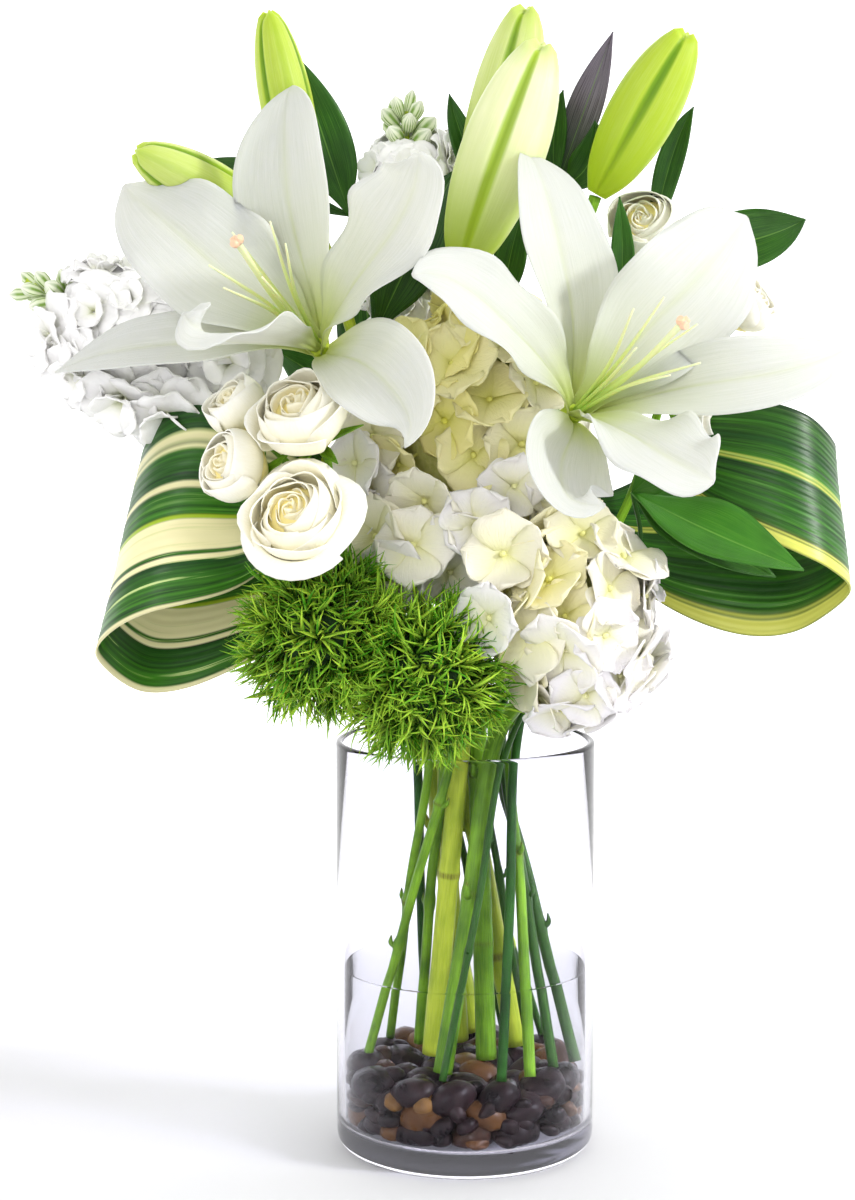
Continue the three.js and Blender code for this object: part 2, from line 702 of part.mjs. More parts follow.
// a leafy stem: every leaf springs from the nearest point of the stem
function leafyStem({ seat, above, radius, leaves }) {
  const stem = fullStem(seat, above, [radius, radius, radius * 0.8, radius * 0.6], 5, 7);
  const path = above.map((p) => at(...p));
  const grown = leaves.map(({ base, tip, width, facing = [0, -1, 0.3] }) => {
    const [from, to] = [at(...base), at(...tip)];
    const spring = path.reduce((best, p) => (
      p.distanceTo(from) < best.distanceTo(from) ? p : best
    ));
    return leaf(spring, from, to, width, at(...facing));
  });
  return [stem, ...grown];
}

const SPRIGS = {
  ruscus_left: {
    seat: [-15, 15], radius: 1.9,
    above: [[-22, 24, 260], [-36, 26, 340], [-44, 16, 400], [-48, 12, 440], [-56, 12, 457]],
    leaves: [
      { base: [-57, 11, 458], tip: [-81, 5, 532], width: 26 },
      { base: [-92, 6, 465], tip: [-126, 5, 483], width: 20 },
      { base: [-38, -2, 416], tip: [-5, 0, 478], width: 32 },
      { base: [-32, -22, 418], tip: [-22, -26, 447], width: 14 },
    ],
  },
  ruscus_centre: {
    seat: [5, 16], radius: 1.9,
    above: [[8, 26, 260], [14, 32, 340], [18, 28, 410], [26, 24, 440], [44, 20, 470]],
    leaves: [
      { base: [2, 22, 470], tip: [-8, 15, 515], width: 14 },
      { base: [36, 20, 480], tip: [47, 16, 517], width: 12 },
      { base: [45, 20, 474], tip: [71, 20, 545], width: 17 },
      { base: [66, 14, 462], tip: [62, 10, 502], width: 18 },
      { base: [16, 8, 424], tip: [27, 5, 458], width: 16 },
    ],
  },
  ruscus_right: {
    seat: [18, 18], radius: 2.5,
    above: [[30, 28, 260], [56, 36, 340], [76, 38, 400], [92, 36, 440]],
    leaves: [
      { base: [90, 28, 474], tip: [110, 16, 509], width: 13 },
      { base: [124, 18, 432], tip: [164, 10, 455], width: 31 },
      { base: [78, 6, 430], tip: [67, 0, 469], width: 13 },
    ],
  },
  ruscus_front: {
    seat: [22, -12], radius: 1.8,
    above: [[56, -14, 262], [82, -26, 300], [78, -34, 326]],
    leaves: [
      { base: [80, -58, 320], tip: [153, -75, 293], width: 33, facing: [0.1, -0.7, 0.7] },
      { base: [74, -44, 318], tip: [143, -56, 288], width: 24, facing: [0.1, -0.7, 0.5] },
      { base: [82, -36, 330], tip: [104, -62, 352], width: 24, facing: [0, -0.8, 0.4] },
    ],
  },
  ruscus_back_left: {
    seat: [-10, 24], radius: 1.9,
    above: [[-20, 42, 248], [-34, 56, 300], [-44, 62, 360]],
    leaves: [
      { base: [-46, 62, 362], tip: [-96, 70, 392], width: 34, facing: [0, 1, 0.3] },
      { base: [-42, 64, 366], tip: [-54, 76, 446], width: 34, facing: [0, 1, 0.3] },
      { base: [-36, 60, 312], tip: [-4, 82, 384], width: 36, facing: [0, 1, 0.3] },
      { base: [-34, 58, 300], tip: [-92, 84, 300], width: 36, facing: [0, 1, 0.4] },
      { base: [-24, 48, 254], tip: [-48, 88, 232], width: 36, facing: [0, 1, 0.6] },
    ],
  },
  ruscus_back_right: {
    seat: [14, 25], radius: 2.9,
    above: [[28, 42, 248], [44, 56, 300], [54, 62, 360]],
    leaves: [
      { base: [56, 62, 362], tip: [106, 70, 386], width: 34, facing: [0, 1, 0.3] },
      { base: [54, 64, 366], tip: [64, 76, 444], width: 34, facing: [0, 1, 0.3] },
      { base: [46, 60, 312], tip: [16, 84, 390], width: 36, facing: [0, 1, 0.3] },
      { base: [44, 58, 300], tip: [100, 82, 296], width: 36, facing: [0, 1, 0.4] },
      { base: [30, 48, 254], tip: [22, 90, 226], width: 38, facing: [0, 1, 0.6] },
    ],
  },
};

// A long ribbon-like leaf folded back on itself into a loop. Its lower edge is given from the
// leaf's base to its tip, and the upper edge stands off it by the rise, narrowing at both ends.
// The top says how much of the rise is left where the upper edge sinks towards the fold.
const LOOPS = {
  aspidistra_left: {
    seat: [-25, -4], rise: at(24, 40, 110), top: [[0, 1], [1, 1]],
    lower: [[-52, 14, 262], [-84, 16, 240], [-120, 8, 230], [-158, -2, 227], [-176, -28, 248],
      [-164, -50, 266], [-146, -56, 274], [-110, -46, 273], [-84, -26, 276]],
    petiole: [[-34, 6, 262], [-60, 18, 288]],
  },
  aspidistra_right: {
    seat: [26, 2], rise: at(-6, 34, 92),
    top: [[0, 1], [0.36, 1], [0.5, 0.8], [0.58, 0.7], [0.7, 0.7], [1, 0.76]],
    lower: [[62, 12, 270], [92, 12, 256], [130, 6, 252], [162, -2, 257], [182, -28, 279],
      [170, -46, 293], [152, -50, 301], [124, -40, 306], [98, -22, 308]],
    petiole: [[42, 14, 262], [70, 20, 290]],
  },
};

const RIBBON_WIDTH = [[0, 0.16], [0.14, 0.62], [0.3, 0.96], [0.5, 1], [0.8, 0.98], [0.92, 0.7], [1, 0.34]];

function loopedLeaf({ seat, rise, top, lower, petiole }) {
  const edge = new THREE.CatmullRomCurve3(lower.map((p) => at(...p)), false, 'centripetal');
  const [rows, columns] = [16, 2];
  const grid = [];
  for (let i = 0; i <= rows; i += 1) {
    const size = knots(RIBBON_WIDTH, i / rows);
    const start = edge.getPointAt(i / rows).addScaledVector(rise, (1 - size) * 0.42);
    grid.push(Array.from({ length: columns + 1 }, (_, j) => (
      start.clone().addScaledVector(rise, (knots(top, i / rows) * size * j) / columns)
    )));
  }
  const above = [...petiole, grid[0][1].toArray(), grid[1][1].toArray()];
  return [blade(grid, LEAF), fullStem(seat, above, [2.4, 2.4, 2.2, 1.6], 5, 9)];
}

// ---------------------------------------------------------------- the bouquet, piece by piece

place('vase', [vase()], COLOURS.glass, 0.05, 0.3);

const { lily_left: left, lily_right: right } = LILIES;
Object.values(LILIES).forEach(({ axis }) => axis.normalize());
const backOf = ({ throat, axis }) => throat.clone().addScaledVector(axis, -9.4);

// a side branch from the fork of a lily stem to just under one of its buds
function budBranch(fork, bend, name) {
  const { base, tip } = BUDS[`lily_bud_${name}`];
  const seat = base.clone().addScaledVector(tip.clone().sub(base).normalize(), -1.1);
  return stalk([fork, bend, seat], [2.7, 2.1, 2.6], 5, 3);
}

const leftFork = at(-52, -6, 392);
place('lily_stem_left', [
  fullStem([-12, 2], [[-24, 8, 270], [-42, 6, 340], leftFork.toArray()], [4.6, 4.2, 3.6], 6, 8),
  stalk([leftFork, at(-58, -28, 388), backOf(left)], [2.8, 2.6, 2.7], 5, 3),
  budBranch(leftFork, at(-66, -10, 428), 'left'),
  budBranch(leftFork, at(-62, 6, 428), 'upper_left'),
], COLOURS.stem, 0.5);

const rightFork = at(30, 14, 384);
place('lily_stem_right', [
  fullStem([6, 4], [[8, 14, 260], [20, 18, 330], rightFork.toArray()], [5, 4.6, 4], 6, 8),
  stalk([rightFork, at(40, -24, 366), backOf(right)], [3, 2.8, 2.7], 5, 3),
  budBranch(rightFork, at(6, 10, 418), 'centre_back'),
  budBranch(rightFork, at(4, -14, 404), 'centre_front'),
  budBranch(rightFork, at(50, 4, 430), 'right'),
], COLOURS.stem, 0.5);

place('hydrangea_upper_stem', [
  fullStem([-2, -8], [[0, -16, 250], [2, -18, 300], [2, -20, 346]], [5.2, 4.8, 3.6], 7, 7),
], COLOURS.limeStem, 0.55);

place('hydrangea_lower_stem', [
  fullStem([15, -10], [[30, -34, 232], [50, -58, 262]], [4.6, 4.4, 3.4], 7, 6),
], COLOURS.stem, 0.55);

const sprayFork = at(-66, -62, 322);
place('spray_rose_stem', [
  fullStem([-12, -9], [[-40, -34, 262], [-58, -52, 300], sprayFork.toArray()], [2.6, 2.4, 2.2], 5, 8),
  ...roseStalk(ROSES.spray_rose_front, sprayFork, 3),
  ...roseStalk(ROSES.spray_rose_top, sprayFork, 3),
  ...roseStalk(ROSES.spray_rose_left, sprayFork, 3),
  ...roseStalk(ROSES.spray_rose_behind, sprayFork, 0),
], COLOURS.stem, 0.5);

const whiteFork = at(98, 24, 372);
place('white_rose_stem', [
  fullStem([24, 10], [[52, 22, 262], [82, 26, 320], whiteFork.toArray()], [2.8, 2.4, 2.2], 5, 8),
  ...roseStalk(ROSES.white_rose_upper, whiteFork, 0),
  ...roseStalk(ROSES.white_rose_right, whiteFork, 0),
  ...roseStalk(ROSES.white_rose_lower, whiteFork, 0),
], COLOURS.stem, 0.5);

const STOCK_STEM = [5.4, 5, 3.6, 3, 1.6];
const { stock_left: leftStock, stock_top: topStock } = STOCKS;
const stockPath = ({ from, to }, end) => [from.toArray(), to.toArray(), end];
place('stock_left_stem', [
  fullStem(
    [-20, 7],
    [[-46, 20, 280], [-78, 24, 350], ...stockPath(leftStock, [-212, 6, 426])],
    STOCK_STEM,
  ),
  ...stockTip(leftStock, 18, 5),
], COLOURS.limeStem, 0.55);
place('stock_top_stem', [
  fullStem(
    [-4, 15],
    [[-10, 30, 280], [-17, 40, 350], ...stockPath(topStock, [-29, 29, 508])],
    STOCK_STEM,
  ),
  ...stockTip(topStock, 14, 4),
], COLOURS.limeStem, 0.55);

place('dianthus_left_stem', [
  fullStem([-19, -15], [[-42, -42, 232], TUFTS.dianthus_left.centre.toArray()], [2.2, 2.2, 2], 6, 8),
], COLOURS.stem, 0.5);
place('dianthus_right_stem', [
  fullStem([-6, -24], [[-14, -50, 228], TUFTS.dianthus_right.centre.toArray()], [2.3, 2.3, 2], 6, 8),
], COLOURS.stem, 0.5);

Object.entries(LOOPS).forEach(([name, loop]) => place(name, loopedLeaf(loop), COLOURS.aspidistra, 0.35));

for (const [name, lily] of Object.entries(LILIES)) {
  place(`${name}_stamens`, lilyStamens(lily), COLOURS.filament, 0.5);
  place(`${name}_bloom`, lilyBloom(lily), COLOURS.lily, 0.5);
}
Object.entries(BUDS).forEach(([name, bud]) => place(name, [lilyBud(bud)], COLOURS.bud, 0.45));
Object.entries(ROSES).forEach(([name, bloom]) => place(name, rose(bloom), COLOURS.rose, 0.55));
Object.entries(SPRIGS).forEach(([name, sprig]) => place(name, leafyStem(sprig), COLOURS.ruscus, 0.35));
Object.entries(HEADS).forEach(([name, head]) => place(name, hydrangeaHead(head), COLOURS.hydrangea, 0.6));
Object.entries(TUFTS).forEach(([name, ball]) => place(name, tuft(ball), COLOURS.dianthus, 0.5));
for (const [name, spray] of Object.entries(STOCKS)) {
  place(`${name}_florets`, stockFlorets(spray), COLOURS.stock, 0.6);
}

place('pebble_bed', pebbleBed(), COLOURS.pebble, 0.3);
place('water', [water()], COLOURS.water, 0.02, 0.2);

export default bouquet;
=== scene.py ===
# White lilies with hydrangea, small roses, stock, green dianthus, dark leaves and two looped
# striped leaves, standing in a clear glass cylinder on river pebbles, partly filled with water.
# Tables and makers work in millimetres. Finished meshes are in metres, +Z up, front at -Y.
import math

import bmesh
import bpy
import numpy as np
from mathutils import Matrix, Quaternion, Vector


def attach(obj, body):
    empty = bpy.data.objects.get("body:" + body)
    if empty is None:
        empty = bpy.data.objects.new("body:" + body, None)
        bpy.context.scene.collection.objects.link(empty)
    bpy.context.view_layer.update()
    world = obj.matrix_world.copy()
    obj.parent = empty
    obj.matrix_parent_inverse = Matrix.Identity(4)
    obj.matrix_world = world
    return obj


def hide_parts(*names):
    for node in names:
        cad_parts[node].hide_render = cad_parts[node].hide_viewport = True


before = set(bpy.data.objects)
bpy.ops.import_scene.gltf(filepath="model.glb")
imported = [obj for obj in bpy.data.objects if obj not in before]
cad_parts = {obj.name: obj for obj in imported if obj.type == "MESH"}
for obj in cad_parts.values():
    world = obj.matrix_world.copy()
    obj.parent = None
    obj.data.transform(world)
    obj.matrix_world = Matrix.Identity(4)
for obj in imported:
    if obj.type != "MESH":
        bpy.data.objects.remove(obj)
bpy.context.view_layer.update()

MM = 0.001
# the turn from one stub, bud or needle to the next
GOLDEN_TURN = 2.4

VASE = {"radius": 63.5, "height": 203.0, "wall": 3.8, "base": 12.0, "heel": 8.0, "inner_heel": 6.0}
BORE = VASE["radius"] - VASE["wall"]
WATER_TOP = 90.0
TURNED_SIDES = 144
# the stems cross in the vase: the height of the mouth and of their cut feet, and how far the
# whole bundle turns and spreads on the way down
BUNDLE = {"mouth": 205.0, "foot": 45.2, "turn": math.radians(-75), "spread": 1.9}


# ---- small tools

def vec(*values):
    return np.array(values, float)


def unit(v):
    return v / np.maximum(np.linalg.norm(v, axis=-1, keepdims=True), 1e-9)


def keep(mesh, title, values):
    """Values on the corners of a mesh, one number or three for each."""
    values = np.array(values, float)
    kind, field = ("FLOAT", "value") if values.ndim == 1 else ("FLOAT_VECTOR", "vector")
    mesh.attributes.new(title, kind, "POINT").data.foreach_set(field, values.ravel())


def put(thing):
    """An object, linked into the scene."""
    bpy.context.scene.collection.objects.link(thing)
    return thing


def angles(count):
    """Even steps round a full turn."""
    return 2 * np.pi * np.arange(count) / count


def around(u, v, angle):
    """The direction at an angle from u towards v."""
    return u * np.cos(angle) + v * np.sin(angle)


def level_rings(radii, heights, sides):
    """Points (rows, sides, 3) on level rings round the upright axis."""
    r, z = np.array(radii, float), np.array(heights, float)
    r = np.broadcast_to(r.reshape(len(z), -1), (len(z), sides))
    angle = angles(sides)
    return np.stack([r * np.cos(angle), r * np.sin(angle), np.repeat(z[:, None], sides, 1)], -1)


def sheet(centre, across, shift, up, lift):
    """A grid of points along a centre line, shifted across it and lifted off it."""
    return centre[:, None] + across[:, None] * shift[..., None] + up * lift[..., None]


def square_to(axis):
    """Two directions square to an axis, the second as near upright as it can be."""
    u = np.cross(vec(0, 0, 1), axis)
    if np.linalg.norm(u) < 0.1:
        u = vec(1, 0, 0)
    u = unit(u)
    return u, np.cross(axis, u)


def profile(knots, place):
    """A value read off a smooth line through (place, value) knots."""
    places, values = np.array(knots, float).T
    slopes = np.gradient(values, places)
    place = np.clip(place, places[0], places[-1])
    i = np.clip(np.searchsorted(places, place) - 1, 0, len(places) - 2)
    span = places[i + 1] - places[i]
    t = (place - places[i]) / span
    return ((2 * t**3 - 3 * t**2 + 1) * values[i] + (t**3 - 2 * t**2 + t) * span * slopes[i]
            + (3 * t**2 - 2 * t**3) * values[i + 1] + (t**3 - t**2) * span * slopes[i + 1])


def smooth_path(points, count):
    """Evenly spaced points along a centripetal curve through the given ones."""
    p = np.array(points, float)
    p = np.vstack([2 * p[0] - p[1], p, 2 * p[-1] - p[-2]])
    when = np.concatenate([[0], np.cumsum(np.linalg.norm(np.diff(p, axis=0), axis=1) ** 0.5)])
    fine = []
    for i in range(1, len(p) - 2):
        last = i == len(p) - 3
        t = np.linspace(when[i], when[i + 1], 33 if last else 32, endpoint=last)[:, None]

        def step(a, b, low, high):
            return ((when[high] - t) * a + (t - when[low]) * b) / (when[high] - when[low])

        a1 = step(p[i - 1], p[i], i - 1, i)
        a2 = step(p[i], p[i + 1], i, i + 1)
        a3 = step(p[i + 1], p[i + 2], i + 1, i + 2)
        b1 = step(a1, a2, i - 1, i + 1)
        b2 = step(a2, a3, i, i + 2)
        fine.append(step(b1, b2, i, i + 1))
    fine = np.concatenate(fine)
    gone = np.concatenate([[0], np.cumsum(np.linalg.norm(np.diff(fine, axis=0), axis=1))])
    even = np.linspace(0, gone[-1], count)
    return np.stack([np.interp(even, gone, fine[:, k]) for k in range(3)], axis=1)


def bezier(corners, share):
    """Points on a Bezier curve with three or four corners."""
    share = np.asarray(share, float)[:, None]
    order = len(corners) - 1
    return sum(math.comb(order, k) * (1 - share) ** (order - k) * share**k * corner
               for k, corner in enumerate(corners))


class Skin:
    """Corner points in millimetres, faces, and the values kept on each corner."""

    def __init__(self):
        self.points, self.faces, self.finishes, self.values, self.flat = [], [], [], [], []
        self.count = 0

    def add(self, points, faces, along=0.0, across=0.0, tone=0.5, finish=0, crisp=0, mark=0.0):
        """The last `crisp` faces meet their neighbours in a sharp edge."""
        points = np.asarray(points, float).reshape(-1, 3)
        values = np.empty((len(points), 4))
        for column, value in enumerate((along, across, mark, tone)):
            values[:, column] = value
        self.points.append(points)
        self.values.append(values)
        self.faces.extend(tuple(int(i) + self.count for i in face) for face in faces)
        self.finishes.extend([finish] * len(faces) if isinstance(finish, int) else finish)
        self.flat.extend([False] * (len(faces) - crisp) + [True] * crisp)
        self.count += len(points)

    def mesh(self, name, *finishes):
        """A mesh in metres, with its finishes named as in FLESH."""
        mesh = bpy.data.meshes.new(name)
        mesh.from_pydata((np.concatenate(self.points) * MM).tolist(), [], self.faces)
        values = np.concatenate(self.values)
        keep(mesh, "pattern", values[:, :3])
        keep(mesh, "tone", values[:, 3])
        for finish in finishes:
            mesh.materials.append(FLESH[finish])
        mesh.polygons.foreach_set("material_index", self.finishes)
        mesh.polygons.foreach_set("use_smooth", [not flat for flat in self.flat])
        shell = bmesh.new()
        shell.from_mesh(mesh)
        bmesh.ops.recalc_face_normals(shell, faces=shell.faces)
        shell.to_mesh(mesh)
        shell.free()
        return mesh


def ring_faces(rows, sides):
    """Faces of a closed skin of rings, with a middle point at each end."""
    i, j = np.meshgrid(np.arange(rows - 1), np.arange(sides), indexing="ij")
    a, b = i * sides + j, i * sides + (j + 1) % sides
    faces = np.stack([a, b, b + sides, a + sides], axis=-1).reshape(-1, 4).tolist()
    low, high, last = rows * sides, rows * sides + 1, (rows - 1) * sides
    for k in range(sides):
        after = (k + 1) % sides
        faces.append((low, after, k))
        faces.append((high, last + k, last + after))
    return faces


def loft(skin, rings, along=0.0, across=0.0, tone=0.5, finish=0, end_finish=None, mark=0.0):
    """Rings of points (rows, sides, 3) joined into a closed skin."""
    rows, sides = rings.shape[:2]
    points = np.vstack([rings.reshape(-1, 3), rings[0].mean(axis=0), rings[-1].mean(axis=0)])
    faces = ring_faces(rows, sides)
    kept = []
    for value in (along, across, mark):
        value = np.broadcast_to(value, (rows, sides)).ravel()
        kept.append(np.append(value, [value[0], value[-1]]))
    ends = 2 * sides
    marks = [finish] * (len(faces) - ends) + [finish if end_finish is None else end_finish] * ends
    skin.add(points, faces, kept[0], kept[1], tone, marks, 0 if end_finish is None else ends,
             kept[2])


def tube(skin, points, radii, sides=12, steps=40, swells=(), tone=0.5, finish=0, end_finish=None):
    """A round stem along a smooth curve, with radii read evenly along it and swollen joints."""
    centres = smooth_path(points, steps + 1)
    share = np.linspace(0, 1, steps + 1)
    radius = np.interp(share, np.linspace(0, 1, len(radii)), radii)
    mark = np.zeros_like(share)
    for where, width, height in swells:
        radius = radius * (1 + height * np.exp(-(((share - where) / width) ** 2)))
        mark = np.maximum(mark, np.exp(-(((share - where) / (0.55 * width)) ** 2)))
    run = unit(np.gradient(centres, axis=0))
    side = square_to(run[0])[0]
    sides_of = []
    for direction in run:
        side = unit(side - direction * side.dot(direction))
        sides_of.append(side)
    u = np.array(sides_of)
    v = np.cross(run, u)
    angle = angles(sides)
    ring = around(u[:, None], v[:, None], angle[None, :, None])
    rings = centres[:, None] + ring * radius[:, None, None]
    loft(skin, rings, share[:, None], np.cos(angle)[None, :], tone, finish, end_finish,
         mark[:, None])
    return centres, run, u, radius


def blade(skin, grid, thickness, along=0.0, across=0.0, tone=0.5):
    """A thin closed sheet through a grid of points (rows, columns, 3)."""
    rows, columns = grid.shape[:2]
    normal = unit(np.cross(np.gradient(grid, axis=1), np.gradient(grid, axis=0)))
    half = np.broadcast_to(thickness, (rows, columns))[..., None] / 2
    points = np.concatenate([(grid + normal * half).reshape(-1, 3),
                             (grid - normal * half).reshape(-1, 3)])
    under = rows * columns
    i, j = np.meshgrid(np.arange(rows - 1), np.arange(columns - 1), indexing="ij")
    a = (i * columns + j).ravel()
    top = np.stack([a, a + 1, a + columns + 1, a + columns], axis=-1)
    bottom = np.stack([a, a + columns, a + columns + 1, a + 1], axis=-1) + under
    last_row, last = under - columns, under - 1
    rim = [*range(columns - 1), *range(columns - 1, last, columns),
           *range(last, last_row, -1), *range(last_row, 0, -columns)]
    edge = [(p, under + p, under + q, q) for p, q in zip(rim, rim[1:] + rim[:1])]
    spread = [np.tile(np.broadcast_to(value, (rows, columns)).ravel(), 2)
              for value in (along, across, tone)]
    skin.add(points, top.tolist() + bottom.tolist() + edge, *spread, crisp=len(edge))


def piece(name, shape, slot, *finishes):
    """A finished piece, from a skin or a mesh, in the place of the solid that has its name."""
    mesh = shape.mesh(name, *finishes) if isinstance(shape, Skin) else shape
    thing = put(bpy.data.objects.new(name, mesh))
    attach(thing, "root")
    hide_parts(name)


class Wiring:
    """Short ways to add nodes to a tree and to join them."""

    def __init__(self, tree):
        self.tree = tree

    def node(self, kind, feeds=(), **settings):
        """A new node, with a plain value or another node's output for each socket in feeds."""
        made = self.tree.nodes.new(kind)
        for key, value in settings.items():
            setattr(made, key, value)
        for socket, value in dict(feeds).items():
            self.feed(made.inputs[socket], value)
        return made

    def feed(self, socket, value):
        if isinstance(value, bpy.types.NodeSocket):
            self.tree.links.new(value, socket)
        else:
            socket.default_value = value

    def maths(self, operation, *values):
        """The outcome of one step of arithmetic."""
        return self.node("ShaderNodeMath", enumerate(values), operation=operation).outputs[0]

    def times(self, first, second):
        return self.maths("MULTIPLY", first, second)


# ---- repeats

def repeat_tree():
    """Repeats a small shape on every point, turned and sized by the values kept on the points."""
    tree = bpy.data.node_groups.new("repeat_on_points", "GeometryNodeTree")
    for title, kind in (("Geometry", "Geometry"), ("Shape", "Object"), ("Core", "Object"),
                        ("Size", "Float"), ("Size Spread", "Float"), ("Lump Height", "Float"),
                        ("Lump Size", "Float"), ("Seed", "Int"), ("Finish", "Material")):
        tree.interface.new_socket(title, in_out="INPUT", socket_type="NodeSocket" + kind)
    tree.interface.new_socket("Geometry", in_out="OUTPUT", socket_type="NodeSocketGeometry")
    wiring = Wiring(tree)
    node, maths, times = wiring.node, wiring.maths, wiring.times
    given = node("NodeGroupInput").outputs

    def kept(title, kind):
        made = node("GeometryNodeInputNamedAttribute", {"Name": title}, data_type=kind)
        return made.outputs["Attribute"]

    def shape_of(title):
        return node("GeometryNodeObjectInfo", {"Object": given[title]}).outputs["Geometry"]

    size = node("FunctionNodeRandomValue", {
        2: maths("SUBTRACT", 1.0, given["Size Spread"]),
        3: maths("ADD", 1.0, given["Size Spread"]),
        "Seed": given["Seed"]}, data_type="FLOAT").outputs[1]
    instances = node("GeometryNodeInstanceOnPoints", {
        "Points": given["Geometry"], "Instance": shape_of("Shape"),
        "Rotation": kept("turn", "FLOAT_VECTOR"),
        "Scale": times(times(given["Size"], size), kept("grow", "FLOAT"))})
    real = node("GeometryNodeRealizeInstances", {0: instances.outputs[0]})
    lumps = node("ShaderNodeTexNoise", {"Scale": maths("DIVIDE", 1.0, given["Lump Size"])})
    outward = node("ShaderNodeVectorMath", {
        0: node("GeometryNodeInputNormal").outputs[0],
        "Scale": times(maths("SUBTRACT", lumps.outputs[0], 0.5), given["Lump Height"]),
    }, operation="SCALE")
    moved = node("GeometryNodeSetPosition", {"Geometry": real.outputs[0],
                                             "Offset": outward.outputs[0]})
    painted = node("GeometryNodeSetMaterial", {"Geometry": moved.outputs[0],
                                               "Material": given["Finish"]})
    joined = node("GeometryNodeJoinGeometry", {0: painted.outputs[0]})
    wiring.feed(joined.inputs[0], shape_of("Core"))
    node("NodeGroupOutput", {0: joined.outputs[0]})
    return tree


REPEAT = repeat_tree()


def any_turn(rng):
    """A random angle of a full turn."""
    return rng.uniform(0, 6.28)


def stood(normal, rng):
    """The turn that stands a shape's own Z along a normal, after a random spin about it."""
    return Vector(normal).to_track_quat("Z", "Y") @ Quaternion((0, 0, 1), any_turn(rng))


def repeated(name, shape, spots, finish, size, spread, seed, lump=(0.0, 1.0), core=None):
    """A plain mesh with the shape at every spot: (place in mm, turn, growth, tone)."""
    if "tone" in shape.attributes:
        shape.attributes.remove(shape.attributes["tone"])
    places, turns, growths, tones = zip(*spots)
    carrier = bpy.data.meshes.new(name + "_spots")
    carrier.from_pydata([tuple(np.asarray(place) * MM) for place in places], [], [])
    keep(carrier, "turn", [turn.to_euler("XYZ") for turn in turns])
    keep(carrier, "grow", growths)
    keep(carrier, "tone", tones)
    helpers = [put(bpy.data.objects.new(f"{name}_{which}", mesh)) for which, mesh in
               (("carrier", carrier), ("shape", shape), ("core", core)) if mesh]
    modifier = helpers[0].modifiers.new("repeat", "NODES")
    modifier.node_group = REPEAT
    values = {"Shape": helpers[1], "Size": size, "Size Spread": spread, "Seed": seed,
              "Lump Height": lump[0] * MM, "Lump Size": lump[1] * MM, "Finish": FLESH[finish]}
    if core:
        values["Core"] = helpers[2]
    for item in REPEAT.interface.items_tree:
        if item.in_out == "INPUT" and item.name in values:
            modifier[item.identifier] = values[item.name]
    depsgraph = bpy.context.evaluated_depsgraph_get()
    mesh = bpy.data.meshes.new_from_object(helpers[0].evaluated_get(depsgraph))
    mesh.name = name
    for helper in helpers:
        bpy.data.objects.remove(helper)
    return mesh


def spread_directions(count):
    """Evenly spread directions over a ball."""
    i = np.arange(count)
    z = 1 - 2 * (i + 0.5) / count
    r = np.sqrt(1 - z**2)
    turn = math.pi * (3 - math.sqrt(5)) * i
    return np.column_stack([r * np.cos(turn), r * np.sin(turn), z])


# ---- finishes

def colour(code):
    """A linear colour from a hex code as a screen shows it."""
    parts = [int(code[k:k + 2], 16) / 255 for k in (0, 2, 4)]
    return (*[p / 12.92 if p <= 0.04045 else ((p + 0.055) / 1.055) ** 2.4 for p in parts], 1.0)


class Finish(Wiring):
    """One material, with short ways to colour it."""

    def __init__(self, name, **sockets):
        self.material = bpy.data.materials.new(name)
        self.material.use_nodes = True
        super().__init__(self.material.node_tree)
        self.shader = self.tree.nodes["Principled BSDF"]
        for title, value in sockets.items():
            title = title.replace("_", " ").title().replace("Ior", "IOR")
            self.shader.inputs[title].default_value = value

    def pattern(self):
        """How far along and across its own shape each place is, and its mark."""
        kept = self.node("ShaderNodeAttribute", attribute_name="pattern")
        return self.node("ShaderNodeSeparateXYZ", {0: kept.outputs["Vector"]}).outputs

    def tone(self):
        return self.node("ShaderNodeAttribute", attribute_name="tone").outputs["Fac"]

    def place(self):
        return self.node("ShaderNodeTexCoord").outputs["Object"]

    def spot(self, x, y, z):
        return self.node("ShaderNodeCombineXYZ", {0: x, 1: y, 2: z}).outputs[0]

    def noise(self, vector, scale, detail=3.0, roughness=0.5):
        made = self.node("ShaderNodeTexNoise", {
            "Vector": vector, "Scale": scale, "Detail": detail, "Roughness": roughness})
        return made.outputs[0]

    def lines(self, across, along, *settings):
        """Noise drawn out along a shape, and unlike on each one by its tone."""
        return self.noise(self.spot(across, along, self.tone()), *settings)

    def ramp(self, value, *stops):
        made = self.node("ShaderNodeValToRGB", {0: value})
        ramp = made.color_ramp
        while len(ramp.elements) < len(stops):
            ramp.elements.new(0.5)
        for element, (where, code) in zip(ramp.elements, stops):
            element.position = where
            element.color = colour(code) if isinstance(code, str) else (code, code, code, 1)
        return made.outputs[0]

    def mix(self, share, first, second):
        """From first to second as share goes from 0 to 1."""
        made = self.node("ShaderNodeMix", data_type="RGBA")
        for socket, value in ((0, share), (6, first), (7, second)):
            self.feed(made.inputs[socket], colour(value) if isinstance(value, str) else value)
        return made.outputs[2]

    def over(self, flesh, laid, value, *stops):
        """A colour laid over flesh where the ramp of a value lets it."""
        return self.mix(self.ramp(value, *stops), flesh, laid)

    def coat(self, base, roughness=None, height=None, depth=0.001, strength=0.5):
        """The material, with its colour, and with its roughness and relief if given."""
        self.feed(self.shader.inputs["Base Color"], base)
        if roughness is not None:
            self.feed(self.shader.inputs["Roughness"], roughness)
        if height is not None:
            bump = self.node("ShaderNodeBump", {"Height": height, "Distance": depth,
                                                "Strength": strength})
            self.feed(self.shader.inputs["Normal"], bump.outputs[0])
        return self.material


